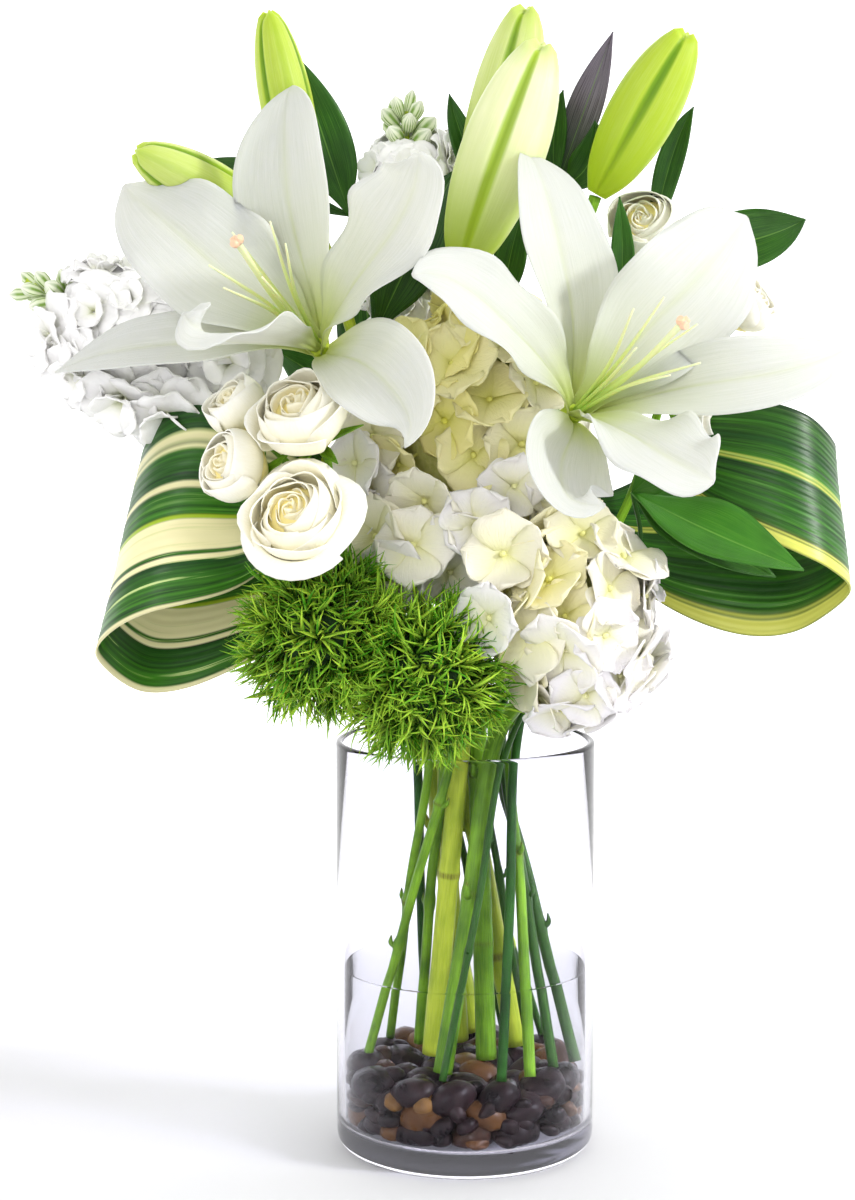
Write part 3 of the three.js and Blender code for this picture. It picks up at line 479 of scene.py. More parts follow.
def clear_finish(name, tint, ior, gleam):
    """Clear glass or water, which lets light through to what stands behind it."""
    made = Finish(name, roughness=0.0, ior=ior, transmission_weight=1.0, base_color=colour(tint),
                  specular_tint=(gleam, gleam, gleam, 1.0))
    shadow = made.node("ShaderNodeLightPath").outputs["Is Shadow Ray"]
    through = made.node("ShaderNodeBsdfTransparent", {0: colour(tint)})
    both = made.node("ShaderNodeMixShader", {0: shadow, 1: made.shader.outputs[0],
                                             2: through.outputs[0]})
    made.feed(made.tree.nodes["Material Output"].inputs["Surface"], both.outputs[0])
    return made.material


def petal(name, soft=0.9, **sockets):
    """Soft petal flesh that light sinks into."""
    made = Finish(name, subsurface_weight=soft, subsurface_scale=0.005, ior=1.35,
                  specular_ior_level=0.3, **sockets)
    made.shader.inputs["Subsurface Radius"].default_value = (1.0, 0.95, 0.75)
    return made


def lily_flesh():
    """White, with green in the throat and along the rib, and fine veins."""
    made = petal("lily_petal", 0.5, roughness=0.5)
    along, across, _ = made.pattern()
    rib = made.ramp(made.maths("ABSOLUTE", across), (0.0, 1.0), (0.06, 0.5), (0.2, 0.0))
    throat = made.ramp(along, (0.0, 1.0), (0.13, 0.8), (0.34, 0.16), (0.62, 0.0))
    ribbed = made.times(rib, made.ramp(along, (0.1, 0.7), (0.5, 0.22), (1.0, 0.03)))
    green = made.maths("MAXIMUM", throat, ribbed)
    veins = made.lines(made.times(across, 17.0), made.times(along, 2.2), 2.4, 4.0, 0.6)
    skin = made.over("cccdc9", "c0c3bb", veins, (0.3, 0.0), (0.75, 1.0))
    return made.coat(made.mix(green, skin, "b3c258"), height=veins, depth=0.0012, strength=0.3)


def filament_flesh():
    """Lime at the foot and pale at the tip."""
    made = Finish("lily_filament", roughness=0.4, subsurface_weight=0.3, subsurface_scale=0.002)
    along = made.pattern()[0]
    return made.coat(made.ramp(along, (0.0, "a9c94a"), (0.5, "d3e28a"), (1.0, "e9eec0")))


def grainy(name, dark, light, scale, depth, detail=3.0, **sockets):
    """A skin with a fine grain between two colours."""
    made = Finish(name, **sockets)
    grain = made.noise(made.place(), scale, detail)
    return made.coat(made.mix(grain, dark, light), height=grain, depth=depth)


def bud_flesh():
    """Green or ripening to cream, with dark grooves between the closed petals."""
    made = petal("lily_bud", roughness=0.38)
    along, across, _ = made.pattern()
    streaks = made.lines(made.times(across, 6.0), made.times(along, 1.6), 3.0, 4.0, 0.6)
    pale = made.ramp(across, (0.0, 0.8), (0.1, 1.0), (0.9, 1.0), (0.965, 0.15), (1.0, 0.0))
    ripe = made.mix(made.tone(), "abc21e", "eff0cc")
    groove = made.mix(made.tone(), "5f8d10", "a2bd3c")
    streaked = made.times(made.ramp(streaks, (0.42, 0.0), (0.7, 0.4)),
                        made.maths("ADD", made.tone(), 0.15))
    flesh = made.mix(streaked, ripe, "f3f4d0")
    flesh = made.mix(pale, groove, flesh)
    ends = made.ramp(along, (0.0, 1.0), (0.2, 0.75), (0.42, 0.35), (0.65, 0.05), (0.86, 0.05),
                     (1.0, 0.6))
    return made.coat(made.mix(ends, flesh, "a3bd22"), height=streaks, depth=0.001, strength=0.25)


def stem_flesh(name, dark, light):
    """Streaked green skin, with brown scars round its joints."""
    made = Finish(name, roughness=0.36, specular_ior_level=0.2)
    along, across, mark = made.pattern()
    streaks = made.lines(made.times(across, 4.0), made.times(along, 7.0), 3.0, 5.0, 0.65)
    patches = made.noise(made.place(), 45.0, 3.0)
    shade = made.maths("ADD", made.times(streaks, patches),
                     made.times(made.tone(), 0.12))
    flesh = made.over(dark, light, shade, (0.14, 0.0), (0.42, 1.0))
    ringed = made.times(made.ramp(mark, (0.45, 0.0), (0.8, 0.85)),
                      made.ramp(streaks, (0.35, 1.0), (0.6, 0.35)))
    return made.coat(made.mix(ringed, flesh, "5b3d24"), height=streaks, depth=0.0008,
                     strength=0.4)


def dark_leaf():
    """Glossy dark green; a tone of nought turns the tip of a leaf plum."""
    made = Finish("dark_leaf", roughness=0.34, specular_ior_level=0.25, coat_weight=0.03,
                  coat_roughness=0.2)
    along, across, _ = made.pattern()
    veins = made.lines(made.times(across, 13.0), along, 2.6, 4.0, 0.6)
    mottle = made.noise(made.place(), 45.0, 3.0)
    flesh = made.mix(made.tone(), "0f300c", "40861f")
    flesh = made.over(flesh, "64a232", veins, (0.42, 0.0), (0.72, 0.4))
    flesh = made.over(flesh, "0f2a0c", mottle, (0.35, 0.0), (0.75, 0.45))
    plum = made.times(made.ramp(made.tone(), (0.0, 0.9), (0.03, 0.0)),
                    made.ramp(along, (0.15, 0.0), (0.6, 1.0)))
    flesh = made.mix(plum, flesh, made.over("463a48", "7b7084", veins, (0.4, 0.0), (0.6, 1.0)))
    rib = made.ramp(made.maths("ABSOLUTE", across), (0.0, 0.45), (0.04, 0.0))
    return made.coat(made.mix(rib, flesh, "7fb04a"), height=veins, depth=0.0008, strength=0.3)


def striped_leaf():
    """Dark green, with cream and lime stripes that run the length of the leaf."""
    made = Finish("striped_leaf", roughness=0.36, specular_ior_level=0.3, coat_weight=0.05,
                  coat_roughness=0.3)
    along, across, _ = made.pattern()
    left = made.tone()
    drift = made.noise(made.spot(made.times(along, 1.6), left, across), 1.5, 2.0)
    where = made.maths("MULTIPLY_ADD", made.maths("SUBTRACT", drift, 0.5), 0.035, across)
    reach = made.spot(where, made.times(along, 0.045), left)
    lines = made.noise(reach, 42.0, 4.0, 0.65)
    broad = made.noise(reach, 9.0, 2.0, 0.5)
    light = made.over("1c5314", "4b9420", broad, (0.35, 0.0), (0.62, 1.0))
    green = made.over("0b2c0c", light, lines, (0.32, 0.0), (0.7, 1.0))
    hair = made.times(made.ramp(lines, (0.6, 0.0), (0.65, 1.0)),
                    made.mix(left, made.ramp(broad, (0.5, 0.0), (0.62, 0.45)),
                             made.ramp(where, (0.0, 1.0), (0.2, 0.9), (0.36, 0.1), (1.0, 0.15))))
    flesh = made.mix(hair, green, "c3d68a")
    cream = made.ramp(where, (0.0, 0.9), (0.015, 0.9), (0.022, 0.0), (0.185, 0.0), (0.19, 1.0),
                      (0.208, 1.0), (0.213, 0.0), (0.226, 0.0), (0.232, 1.0), (0.355, 1.0),
                      (0.362, 0.0), (1.0, 0.0))
    upper = made.ramp(where, (0.48, 0.0), (0.492, 0.85), (0.508, 0.85), (0.518, 0.0), (0.64, 0.0),
                      (0.655, 0.8), (0.67, 0.3), (0.69, 0.75), (0.712, 0.8), (0.73, 0.0))
    edge = made.ramp(where, (0.0, 0.3), (0.01, 0.9), (0.075, 1.0), (0.085, 0.25), (0.1, 0.8),
                     (0.112, 0.1), (0.14, 0.0), (0.53, 0.0), (0.545, 0.75), (0.56, 0.2),
                     (0.575, 0.6), (0.585, 0.0))
    bright = made.mix(left, edge, made.maths("MAXIMUM", cream, upper))
    rim = made.ramp(where, (0.355, 0.0), (0.362, 0.9), (0.372, 0.9), (0.38, 0.0))
    flesh = made.mix(made.times(rim, left), flesh, "a9c32e")
    inside = made.ramp(lines, (0.55, 0.0), (0.66, 0.35))
    pale = made.mix(inside, made.mix(left, "dcdd66", "f1e9b6"), "b9c869")
    shade = made.over(made.mix(bright, flesh, pale), "0c2a0d", where, (0.84, 0.0), (0.97, 0.75))
    ridges = made.maths("SINE", made.times(across, 160.0))
    gloss = made.noise(made.place(), 70.0)
    return made.coat(shade, made.ramp(gloss, (0.3, 0.32), (0.8, 0.48)), ridges, 0.0005, 0.15)


def hydrangea_flesh():
    """White or creamy sepals, more yellow towards their bead; the cream of florets sunk deep in a
    head is painted shade.
    """
    made = petal("hydrangea_floret", 0.1, roughness=0.6)
    along, across, _ = made.pattern()
    veins = made.lines(made.times(across, 5.0), made.times(along, 2.0), 3.0)
    flesh = made.mix(made.tone(), "f4f1f3", "f8ee92")
    heart = made.mix(made.tone(), "ecebb0", "e0dc4c")
    flesh = made.over(flesh, heart, along, (0.0, 1.0), (0.3, 0.45), (0.75, 0.0))
    flesh = made.over(flesh, made.mix(made.tone(), "e8e5ec", "f3ea8c"),
                      veins, (0.5, 0.0), (0.75, 0.25))
    return made.coat(flesh, height=veins, depth=0.0012, strength=0.35)


def rose_flesh():
    """Ivory, warmer deep down in the bloom: partly the rose's own cream heart, partly painted warm
    shade in the hollows.
    """
    made = petal("rose_petal", 0.1, roughness=0.55)
    along, across, _ = made.pattern()
    veins = made.lines(made.times(across, 9.0), made.times(along, 2.0), 3.0)
    # inner whorls and the heart carry a higher tone and so a warmer colour: partly the rose's own
    # cream, partly painted shade
    flesh = made.mix(made.tone(), "fbfaf5", "fbf0bf")
    flesh = made.over(flesh, "f3eed6", veins, (0.45, 0.0), (0.75, 0.3))
    # petal bases, deep in the bloom, turn yellow: partly the rose's own colour, partly painted warm
    # shade
    flesh = made.over(flesh, made.mix(made.tone(), "f8f3cf", "f6e58c"),
                      along, (0.0, 1.0), (0.55, 0.5), (0.88, 0.12), (1.0, 0.0))
    return made.coat(flesh, height=veins, depth=0.0008, strength=0.25)


def stock_flesh():
    """White, with a touch of green at the root of each petal."""
    made = petal("stock_floret", 0.1, roughness=0.6)
    along = made.pattern()[0]
    veins = made.noise(made.place(), 260.0, 3.0)
    flesh = made.over("fbfaf9", "e6ecbc", along, (0.0, 1.0), (0.3, 0.2), (0.6, 0.0))
    flesh = made.over(flesh, "f4f1f1", veins, (0.5, 0.0), (0.75, 0.3))
    return made.coat(flesh, height=veins, depth=0.0012, strength=0.35)


def closed_bud_flesh():
    """Green with pale ribs and a white tip."""
    made = Finish("stock_closed_bud", roughness=0.5)
    along, across, _ = made.pattern()
    ribs = made.maths("ABSOLUTE", made.maths("SINE", made.times(across, 9.42)))
    flesh = made.over("7da045", "dfe8c4", ribs, (0.25, 0.0), (0.7, 1.0))
    return made.coat(made.over(flesh, "f1f2e6", along, (0.72, 0.0), (1.0, 0.85)),
                     height=made.noise(made.place(), 500.0), depth=0.0004)


def needle_flesh():
    """Dark at the root and bright at the tip; the dark green at the root is painted shade deep in
    the ball.
    """
    made = Finish("dianthus_needle", roughness=0.5, specular_ior_level=0.2, subsurface_weight=0.1,
                  subsurface_scale=0.002)
    along = made.pattern()[0]
    tips = made.mix(made.tone(), "4b9c12", "b2dc3e")
    grain = made.noise(made.place(), 400.0)
    # roots deep in the ball are dark green: painted shade
    flesh = made.over("164e09", tips, along, (0.08, 0.0), (0.75, 1.0))
    return made.coat(made.over(flesh, "d0e66a", grain, (0.5, 0.0), (0.8, 0.3)))


def shaded_heart(name, dark, light):
    """The shaded heart of a head, behind what covers it: its colour is partly the green of what is
    hidden there and partly painted shade.
    """
    return grainy(name, dark, light, 320.0, 0.002, 4.0, roughness=0.8)


def pebble_stone():
    """Wet dark river stones, a few of them brown or tan."""
    made = Finish("river_pebble", roughness=0.25, specular_ior_level=0.2, coat_weight=0.04,
                  coat_roughness=0.1)
    mottle = made.noise(made.place(), 130.0, 5.0, 0.6)
    grain = made.noise(made.place(), 900.0, 3.0)
    dust = made.noise(made.place(), 55.0, 4.0, 0.7)
    stone = made.ramp(made.tone(), (0.0, "0d070a"), (0.35, "170d12"), (0.6, "25171a"),
                      (0.8, "40291a"), (0.93, "7d5322"), (1.0, "a88a58"))
    stone = made.over(stone, "443334", mottle, (0.4, 0.0), (0.75, 0.5))
    stone = made.over(stone, "675652", dust, (0.52, 0.0), (0.72, 0.35))
    return made.coat(made.over(stone, "8d7c76", grain, (0.6, 0.0), (0.78, 0.25)),
                     made.ramp(mottle, (0.3, 0.2), (0.7, 0.45)), mottle, 0.0014, 0.4)


FLESH = {
    "glass": clear_finish("clear_glass", "f3f2f9", 1.38, 0.15),
    "water": clear_finish("still_water", "fbfdfc", 1.02, 0.15),
    "pebble": pebble_stone(),
    "lily": lily_flesh(), "filament": filament_flesh(),
    "stigma": grainy("lily_stigma", "f3b9a4", "f0d3a8", 900.0, 0.0004, roughness=0.35,
                     subsurface_weight=0.3, subsurface_scale=0.002),
    "bud": bud_flesh(), "hydrangea": hydrangea_flesh(), "rose": rose_flesh(),
    "stock": stock_flesh(), "closed_bud": closed_bud_flesh(), "needle": needle_flesh(),
    "stem": stem_flesh("green_stem", "23530c", "83b52c"),
    "lime_stem": stem_flesh("lime_stem", "7d9c1c", "c6d744"),
    "dark_stem": stem_flesh("dark_stem", "0e2c0b", "2d661b"),
    "cut": grainy("cut_stem_end", "cfd79a", "a9b66a", 1500.0, 0.0003, roughness=0.6),
    "dark_leaf": dark_leaf(), "striped_leaf": striped_leaf(),
    # hearts: the dianthus heart's near-black green is painted shade; the hydrangea and stock hearts
    # are partly the green of hidden stalks, partly painted shade
    "hydrangea_heart": shaded_heart("hydrangea_heart", "b9bf58", "e9e6a0"),
    "needle_heart": shaded_heart("dianthus_heart", "0b2606", "1c4a0c"),
    "stock_heart": shaded_heart("stock_heart", "b4c47e", "f0f2e6"),
}


# ---- vase, water and pebbles

def turned(skin, outline):
    """A closed skin turned round the upright axis; it starts and ends on the axis."""
    r, z = np.array(outline).T
    rings = level_rings(r[1:-1], z[1:-1], TURNED_SIDES)
    points = [*rings.reshape(-1, 3), (0, 0, z[0]), (0, 0, z[-1])]
    skin.add(points, ring_faces(len(rings), TURNED_SIDES))


def arc(r, z, radius, start, end, steps):
    """Points on a rounded corner of an outline, from one angle to another in degrees."""
    angle = np.radians(np.linspace(start, end, steps + 1))
    return list(zip(r + radius * np.cos(angle), z + radius * np.sin(angle)))


def build_vase():
    """A clear cylinder with a thick base, a rounded rim and rounded inner corners."""
    radius, height, wall = VASE["radius"], VASE["height"], VASE["wall"]
    heel, inner, base = VASE["heel"], VASE["inner_heel"], VASE["base"]
    skin = Skin()
    turned(skin, [(0, 0), (30, 0), *arc(radius - heel, heel, heel, -90, 0, 10),
                  (radius, 60), (radius, 120),
                  *arc(radius - wall / 2, height - wall / 2, wall / 2, 0, 180, 10),
                  (BORE, 120), (BORE, 60),
                  *arc(BORE - inner, base + inner, inner, 0, -90, 8), (25, base), (0, base)])
    piece("vase", skin, "glass", "glass")


def build_water():
    """Water with a low rim where it climbs the glass."""
    edge, bottom, inner = BORE - 0.12, VASE["base"] + 0.15, VASE["inner_heel"]
    skin = Skin()
    turned(skin, [(0, bottom), (25, bottom), *arc(edge - inner, bottom + inner, inner, -90, 0, 6),
                  (edge, 50), (edge, WATER_TOP + 1.6), (edge - 0.8, WATER_TOP + 0.7),
                  (edge - 2.6, WATER_TOP + 0.1), (edge - 6, WATER_TOP), (20, WATER_TOP),
                  (0, WATER_TOP)])
    piece("water", skin, "water", "water")


PEBBLE_ROWS = (
    # how many, distance from the axis, height, how far their tilt may go, size of the stones
    (13, 47.6, 20.4, 0.35, 1), (8, 29, 20, 0.5, 1), (4, 12, 20, 0.5, 1), (13, 47.8, 29.3, 0.6, 1),
    (13, 48.0, 37.0, 0.45, 1), (9, 31, 36.4, 0.4, 1), (5, 15, 36.8, 0.4, 1), (1, 0, 37.4, 0.2, 1),
    # small stones that fill the gaps along the glass
    (24, 52.2, 17.2, 0.5, 0.52), (24, 53.6, 24.8, 0.8, 0.5), (24, 53.8, 33.2, 0.8, 0.5),
    (18, 40, 16.6, 0.4, 0.5), (16, 40, 39.5, 0.6, 0.6),
)
PEBBLE_HALF_LENGTH, ROW_OFFSET = 12.4, 0.37
PEBBLE_TONES = (0.1, 0.35, 0.22, 0.55, 0.3, 0.78, 0.18, 0.42, 0.95, 0.28, 0.5, 0.15, 0.86, 0.38)


def pebble_shape():
    """A flat rounded pebble. One unit is its half length."""
    shell = bmesh.new()
    bmesh.ops.create_icosphere(shell, subdivisions=3, radius=1.0)
    for corner in shell.verts:
        x, y, z = corner.co
        corner.co = Vector((x * (1 + 0.12 * y), y * 0.82, z * (0.62 + 0.08 * x)))
    mesh = bpy.data.meshes.new("pebble_shape")
    shell.to_mesh(mesh)
    shell.free()
    mesh.polygons.foreach_set("use_smooth", [True] * len(mesh.polygons))
    return mesh


def build_pebbles():
    """Rows of pebbles from the base up, each tilted and sized at random."""
    rng = np.random.default_rng(11)
    spots = []
    for row, (count, radius, height, tilt, stone) in enumerate(PEBBLE_ROWS):
        for k in range(count):
            angle = 2 * math.pi * (k + row * ROW_OFFSET) / count + 0.12 * rng.uniform(-1, 1)
            place = vec(radius * math.cos(angle), radius * math.sin(angle),
                        height + 0.9 * rng.uniform(-1, 1))
            turn = (Quaternion((0, 0, 1), angle + math.pi / 2 + 0.5 * rng.uniform(-1, 1))
                    @ Quaternion((1, 0, 0), tilt * rng.uniform(-1, 1))
                    @ Quaternion((0, 1, 0), tilt * rng.uniform(-1, 1)))
            tone = PEBBLE_TONES[int(rng.integers(len(PEBBLE_TONES)))]
            spots.append((place, turn, stone * rng.uniform(0.82, 1.14), tone))
    mesh = repeated("pebble_bed", pebble_shape(), spots, "pebble", size=PEBBLE_HALF_LENGTH * MM,
                    spread=0.08, lump=(5.0, 13.0), seed=4)
    piece("pebble_bed", mesh, "pebbles")


# ---- stems in the vase

def in_vase(seat):
    """A stem's seat in the mouth, turned and spread on the way down to its foot."""
    x, y = seat
    spread = BUNDLE["spread"]
    below = around(vec(x, y, 0), vec(-y, x, 0), BUNDLE["turn"]) * spread
    top, bottom = vec(x, y, BUNDLE["mouth"]), below + (0, 0, BUNDLE["foot"])
    return [bottom, (bottom + top) / 2, top]


def full_stem(skin, seat, above, radii, swells=(), tone=0.5, sides=16, steps=90):
    """A whole stem from its cut foot in the water, with swollen joints and the stub on each."""
    points = [*in_vase(seat), *above]
    centres, run, u, radius = tube(skin, points, radii, sides, steps, swells, tone, 0, 1)
    for number, (where, _, _) in enumerate(swells):
        i = int(where * steps)
        out = unit(around(u[i], np.cross(run[i], u[i]), GOLDEN_TURN * number + 2))
        size = radius[i]
        root = centres[i] + out * size * 0.55
        tube(skin, [root, root + out * size * 0.75 + run[i] * size * 0.35,
                    root + out * size * 0.95 + run[i] * size * 1.5],
             [size * 0.5, size * 0.36, size * 0.1], 8, 8, ((0.9, 0.3, 0.0),), tone)


def branch(skin, points, radii):
    """A side stem from a fork."""
    tube(skin, points, radii, 10, 18)


STEM, LIME_STEM = ("stem", "cut"), ("lime_stem", "cut")


# ---- lilies

LILIES = {
    # each petal: tip, the point its middle passes through, width, inner or outer, turn in degrees
    "lily_left": {
        "throat": vec(-67, -50, 392), "axis": unit(vec(-0.42, -0.66, 0.62)),
        "petals": [
            ((-82, -13, 516), (-81, -50, 459), 47, False, 0),
            ((-23, -118, 478), (-42, -92, 435), 54, True, -24),
            ((-28, -159, 353), (-42, -124, 384), 44, False, 0),
            ((-121, -150, 409), (-95, -118, 397), 40, True, 0),
            ((-194, -25, 382), (-126, -60, 397), 34, False, 0),
            ((-162, -11, 470), (-113, -55, 430), 58, True, 0),
        ],
        "pistil": vec(-101, -118, 440), "seed": 3,
    },
    "lily_right": {
        "throat": vec(47, -62, 363), "axis": unit(vec(0.46, -0.75, 0.42)),
        "petals": [
            ((26, -33, 485), (44, -68, 429), 46, False, 0),
            ((130, -34, 454), (88, -75, 409), 56, True, 0),
            ((176, -56, 394), (110, -85, 378), 36, False, 0),
            ((103, -150, 338), (75, -118, 354), 50, True, -22),
            ((57, -150, 328), (41, -118, 343), 46, False, 0),
            ((-25, -128, 425), (19, -100, 404), 40, True, 0),
        ],
        "pistil": vec(91, -131, 405), "seed": 8,
    },
}
FILAMENT_LENGTH = 74.0
# a bloom's green neck, below and above its throat, and where the stem meets it
NECK_BELOW, NECK_ABOVE, NECK_FOOT = 9, 4.6, 9.4
PETAL_WIDTH = {
    False: [(0, 0.16), (0.14, 0.28), (0.3, 0.68), (0.5, 1), (0.7, 0.88), (0.87, 0.48), (1, 0.03)],
    True: [(0, 0.16), (0.14, 0.26), (0.3, 0.66), (0.5, 1), (0.7, 0.93), (0.88, 0.58), (1, 0.05)],
}


def lily_petal(skin, throat, axis, tip, middle, width, inner, roll, rng):
    """One petal leaves the throat along the axis and turns outwards to its tip."""
    tip = vec(*tip)
    rise = (tip - throat).dot(axis)
    out = tip - throat - rise * axis
    root = throat + unit(out) * (1.4 if inner else 4.2)
    rising = root + axis * (27 if inner else 22) + out * 0.14
    turning = (8 * vec(*middle) - root - 3 * rising - tip) / 3
    share = np.linspace(0, 1, 37)
    centre = bezier([root, rising, turning, tip], share)
    run = unit(np.gradient(centre, axis=0))
    across = unit(np.cross(run, axis))
    inward = unit(np.cross(across, run))
    turn = np.radians(roll * share)[:, None]
    across, inward = around(across, inward, turn), around(inward, -across, turn)
    half = width / 2 * profile(PETAL_WIDTH[inner], share)
    v = np.linspace(-1, 1, 21)
    s, w = share[:, None], v[None, :]
    lift = (half * (0.55 - 0.35 * share))[:, None] * w**2
    lift = lift - 1.3 * np.exp(-((w / 0.11) ** 2)) * np.sqrt(1 - s) * np.minimum(1, 5 * s)
    lift = lift + 0.7 * np.exp(-(((np.abs(w) - 0.3) / 0.16) ** 2)) * (1 - s) * np.minimum(1, 5 * s)
    waves, reach = (3.2, 0.075) if inner else (2.0, 0.035)
    for side in (-1, 1):
        phase = rng.uniform(0, 2 * math.pi)
        edge = np.clip(side * w, 0, 1) ** 3
        wave = np.sin(2 * np.pi * (waves + rng.uniform(-0.4, 0.4)) * s + phase)
        lift = lift + half[:, None] * reach * 2.2 * edge * wave * np.sin(np.pi * s) ** 0.7
        lift = lift - half[:, None] * (0.2 if inner else 0.1) * edge * s
    sway = 1.2 * np.sin(2 * np.pi * (1.3 * s + rng.uniform())) * np.sin(np.pi * s)
    grid = sheet(centre, across, w * half[:, None] + sway, inward[:, None], lift)
    blade(skin, grid, 1.15 - 0.65 * np.abs(w) ** 2 - 0.25 * s, s, w, rng.uniform(0, 1))


def build_lily(name, lily):
    """Six petals on a green neck, then the pistil with its three lobes and six filaments."""
    rng = np.random.default_rng(lily["seed"])
    throat, axis, pistil = lily["throat"], lily["axis"], lily["pistil"]
    bloom = Skin()
    tube(bloom, [throat - axis * NECK_BELOW, throat - axis * 3, throat + axis * NECK_ABOVE],
         [2.6, 5, 4.4], 16, 10, (), 0.6, 1, 1)
    for petal_row in lily["petals"]:
        lily_petal(bloom, throat, axis, *petal_row, rng)
    piece(name + "_bloom", bloom, "lily_petal", "lily", "lime_stem")

    stamens = Skin()
    u, v = square_to(axis)
    foot = throat + axis * 5.7
    tube(stamens, [foot, (foot + pistil) / 2 - v * 3, pistil], [2.2, 1.7, 1.3, 1.3, 1.7], 10, 26)
    lean = unit(pistil - foot)
    for angle in angles(3) + 0.5:
        side = around(u, v, angle)
        tube(stamens, [pistil - lean * 1.5, pistil + side * 1.2, pistil + side * 2.6 + lean * 1.6],
             [1.6, 2.2, 1.5], 10, 6, (), 0.5, 1, 1)
    reach = lean * FILAMENT_LENGTH
    for angle in angles(6) + 0.3:
        outward = around(u, v, angle)
        tube(stamens, [foot + outward, foot + reach * 0.5 + outward * 7,
                       foot + reach + outward * 19], [1.0, 0.95, 0.8, 0.45], 8, 18)
    piece(name + "_stamens", stamens, "filament", "filament", "stigma")


# ---- lily buds

BUDS = {
    # foot, tip, radius, how pale it has ripened
    "lily_bud_left": ((-94, -14, 454), (-155, -25, 485), 13.5, 0.25),
    "lily_bud_upper_left": ((-76, 4, 462), (-94, 0, 552), 12.5, 0.1),
    "lily_bud_centre_back": ((6, 14, 446), (29, 6, 555), 17, 0.4),
    "lily_bud_centre_front": ((-3, -24, 430), (35, -30, 534), 19.5, 0.85),
    "lily_bud_right": ((62, -5, 466), (104, -10, 541), 16, 0.06),
}
BUD_SHAPE = [(0, 0.3), (0.1, 0.6), (0.28, 0.88), (0.5, 1), (0.7, 0.93), (0.86, 0.72),
             (0.95, 0.5), (0.985, 0.36), (1, 0.2)]


def build_bud(name, foot, tip, radius, ripe):
    """Three broad closed petals, each with a rib, and a groove between each two."""
    foot, tip = vec(*foot), vec(*tip)
    axis = unit(tip - foot)
    u, v = square_to(axis)
    share = np.linspace(0, 1, 46)
    angle = angles(60)
    lobe = 0.5 - 0.5 * np.cos(3 * angle - np.pi)
    seam = np.exp(-((np.abs(np.angle(np.exp(1j * (3 * angle - np.pi)))) / 0.34) ** 2))
    rib = np.exp(-((np.abs(np.angle(np.exp(3j * angle))) / 0.3) ** 2))
    s = share[:, None]
    size = profile(BUD_SHAPE, share)[:, None] * radius
    ring = size * (1 + 0.07 * np.cos(3 * angle) - 0.1 * seam + 0.045 * rib * (1 - s))
    bow = radius * 0.1 * np.sin(np.pi * share)[:, None, None]
    horns = radius * 0.26 * np.clip((s - 0.9) / 0.1, 0, 1) ** 2 * (lobe - 0.8)
    rings = ((foot + (tip - foot) * s)[:, None] + bow * u + horns[..., None] * axis
             + ring[..., None] * around(u, v, angle[:, None]))
    skin = Skin()
    loft(skin, rings, s, 1 - lobe, ripe)
    piece(name, skin, "bud", "bud")


# ---- hydrangea

HEADS = {
    # centre, radii, how many florets, how much cream, seed, then the florets that hang out of the
    # head, each with its place and the way it faces
    "hydrangea_upper": (vec(2, -16, 350), vec(52, 44, 65), 62, 0.5, 5, (
        ((-25, -58, 303), (-0.25, -0.9, 0.2)), ((-42, -44, 306), (-0.5, -0.8, 0)),
        ((4, -62, 312), (0.1, -1, 0.15)), ((-8, -48, 290), (0, -0.9, -0.4)),
        ((-44, -36, 352), (-0.4, -0.9, 0.1)), ((-46, -34, 327), (-0.5, -0.8, 0)),
        ((-52, -40, 340), (-0.6, -0.7, 0.2)), ((-34, -50, 288), (-0.4, -0.9, -0.2)),
        ((-52, -30, 314), (-0.7, -0.7, 0.1)))),
    "hydrangea_lower": (vec(50, -56, 266), vec(39, 38, 48), 44, 0.2, 8, (
        ((16, -74, 300), (-0.2, -0.9, 0.4)), ((10, -82, 272), (-0.6, -0.8, 0)))),
}
# florets come in a flat and a cupped kind
FLORET_REACH = 19.5
FLORET_OPENNESS, FLORET_TWIST = (0.16, 0.32), (0.12, 0.08)
# how much of a head its hidden heart fills
HEART_SHARE = 0.66
SEPAL_WIDTH = [(0, 0.12), (0.12, 0.42), (0.3, 0.8), (0.54, 1), (0.72, 0.95), (0.85, 0.79),
               (0.94, 0.56), (0.985, 0.3), (1, 0.12)]


def floret_petal(skin, angle, out, side, rise, thickness, s, w):
    """One petal of a small shape, turned to its angle round the shape's own Z."""
    grid = np.stack([out * math.cos(angle) - side * math.sin(angle),
                     out * math.sin(angle) + side * math.cos(angle), rise], axis=-1)
    blade(skin, grid / MM, thickness / MM, s, w)


def floret_shape(seed, openness, twist):
    """Four rounded, overlapping sepals round a bead, on a slim stalk. One unit is its reach."""
    rng = np.random.default_rng(seed)
    skin = Skin()
    s = 1 - (1 - np.linspace(0.01, 1, 9)[:, None])**1.9
    w = np.linspace(-1, 1, 9)[None, :]
    for k in range(4):
        angle = math.pi * k / 2 + rng.uniform(-0.12, 0.12)
        reach = rng.uniform(0.88, 1.08)
        bend = openness * rng.uniform(0.5, 1.5)
        notch = 0.02 * np.cos(4 * np.pi * w + k) * s**4
        r = reach * s * (1 - 0.2 * w**2 * s) + notch
        side = 0.72 * profile(SEPAL_WIDTH, s) * w
        rise = (bend * s * (1 - 0.35 * s**2) + 0.1 * w**2 * s - 0.05 * w**4 * s**2
                + twist * w * s + 0.02 * np.sin(4 * w + 6 * s + 2.1 * k) * s)
        floret_petal(skin, angle, r, side, rise + 0.01 * k, 0.028, s, w)
    loft(skin, level_rings((0.06, 0.085, 0.07, 0.03), (-0.05, 0.02, 0.09, 0.13), 8) / MM)
    loft(skin, level_rings((0.05, 0.045, 0.06), (-0.9, -0.4, 0.03), 5) / MM)
    return skin.mesh("floret_shape")


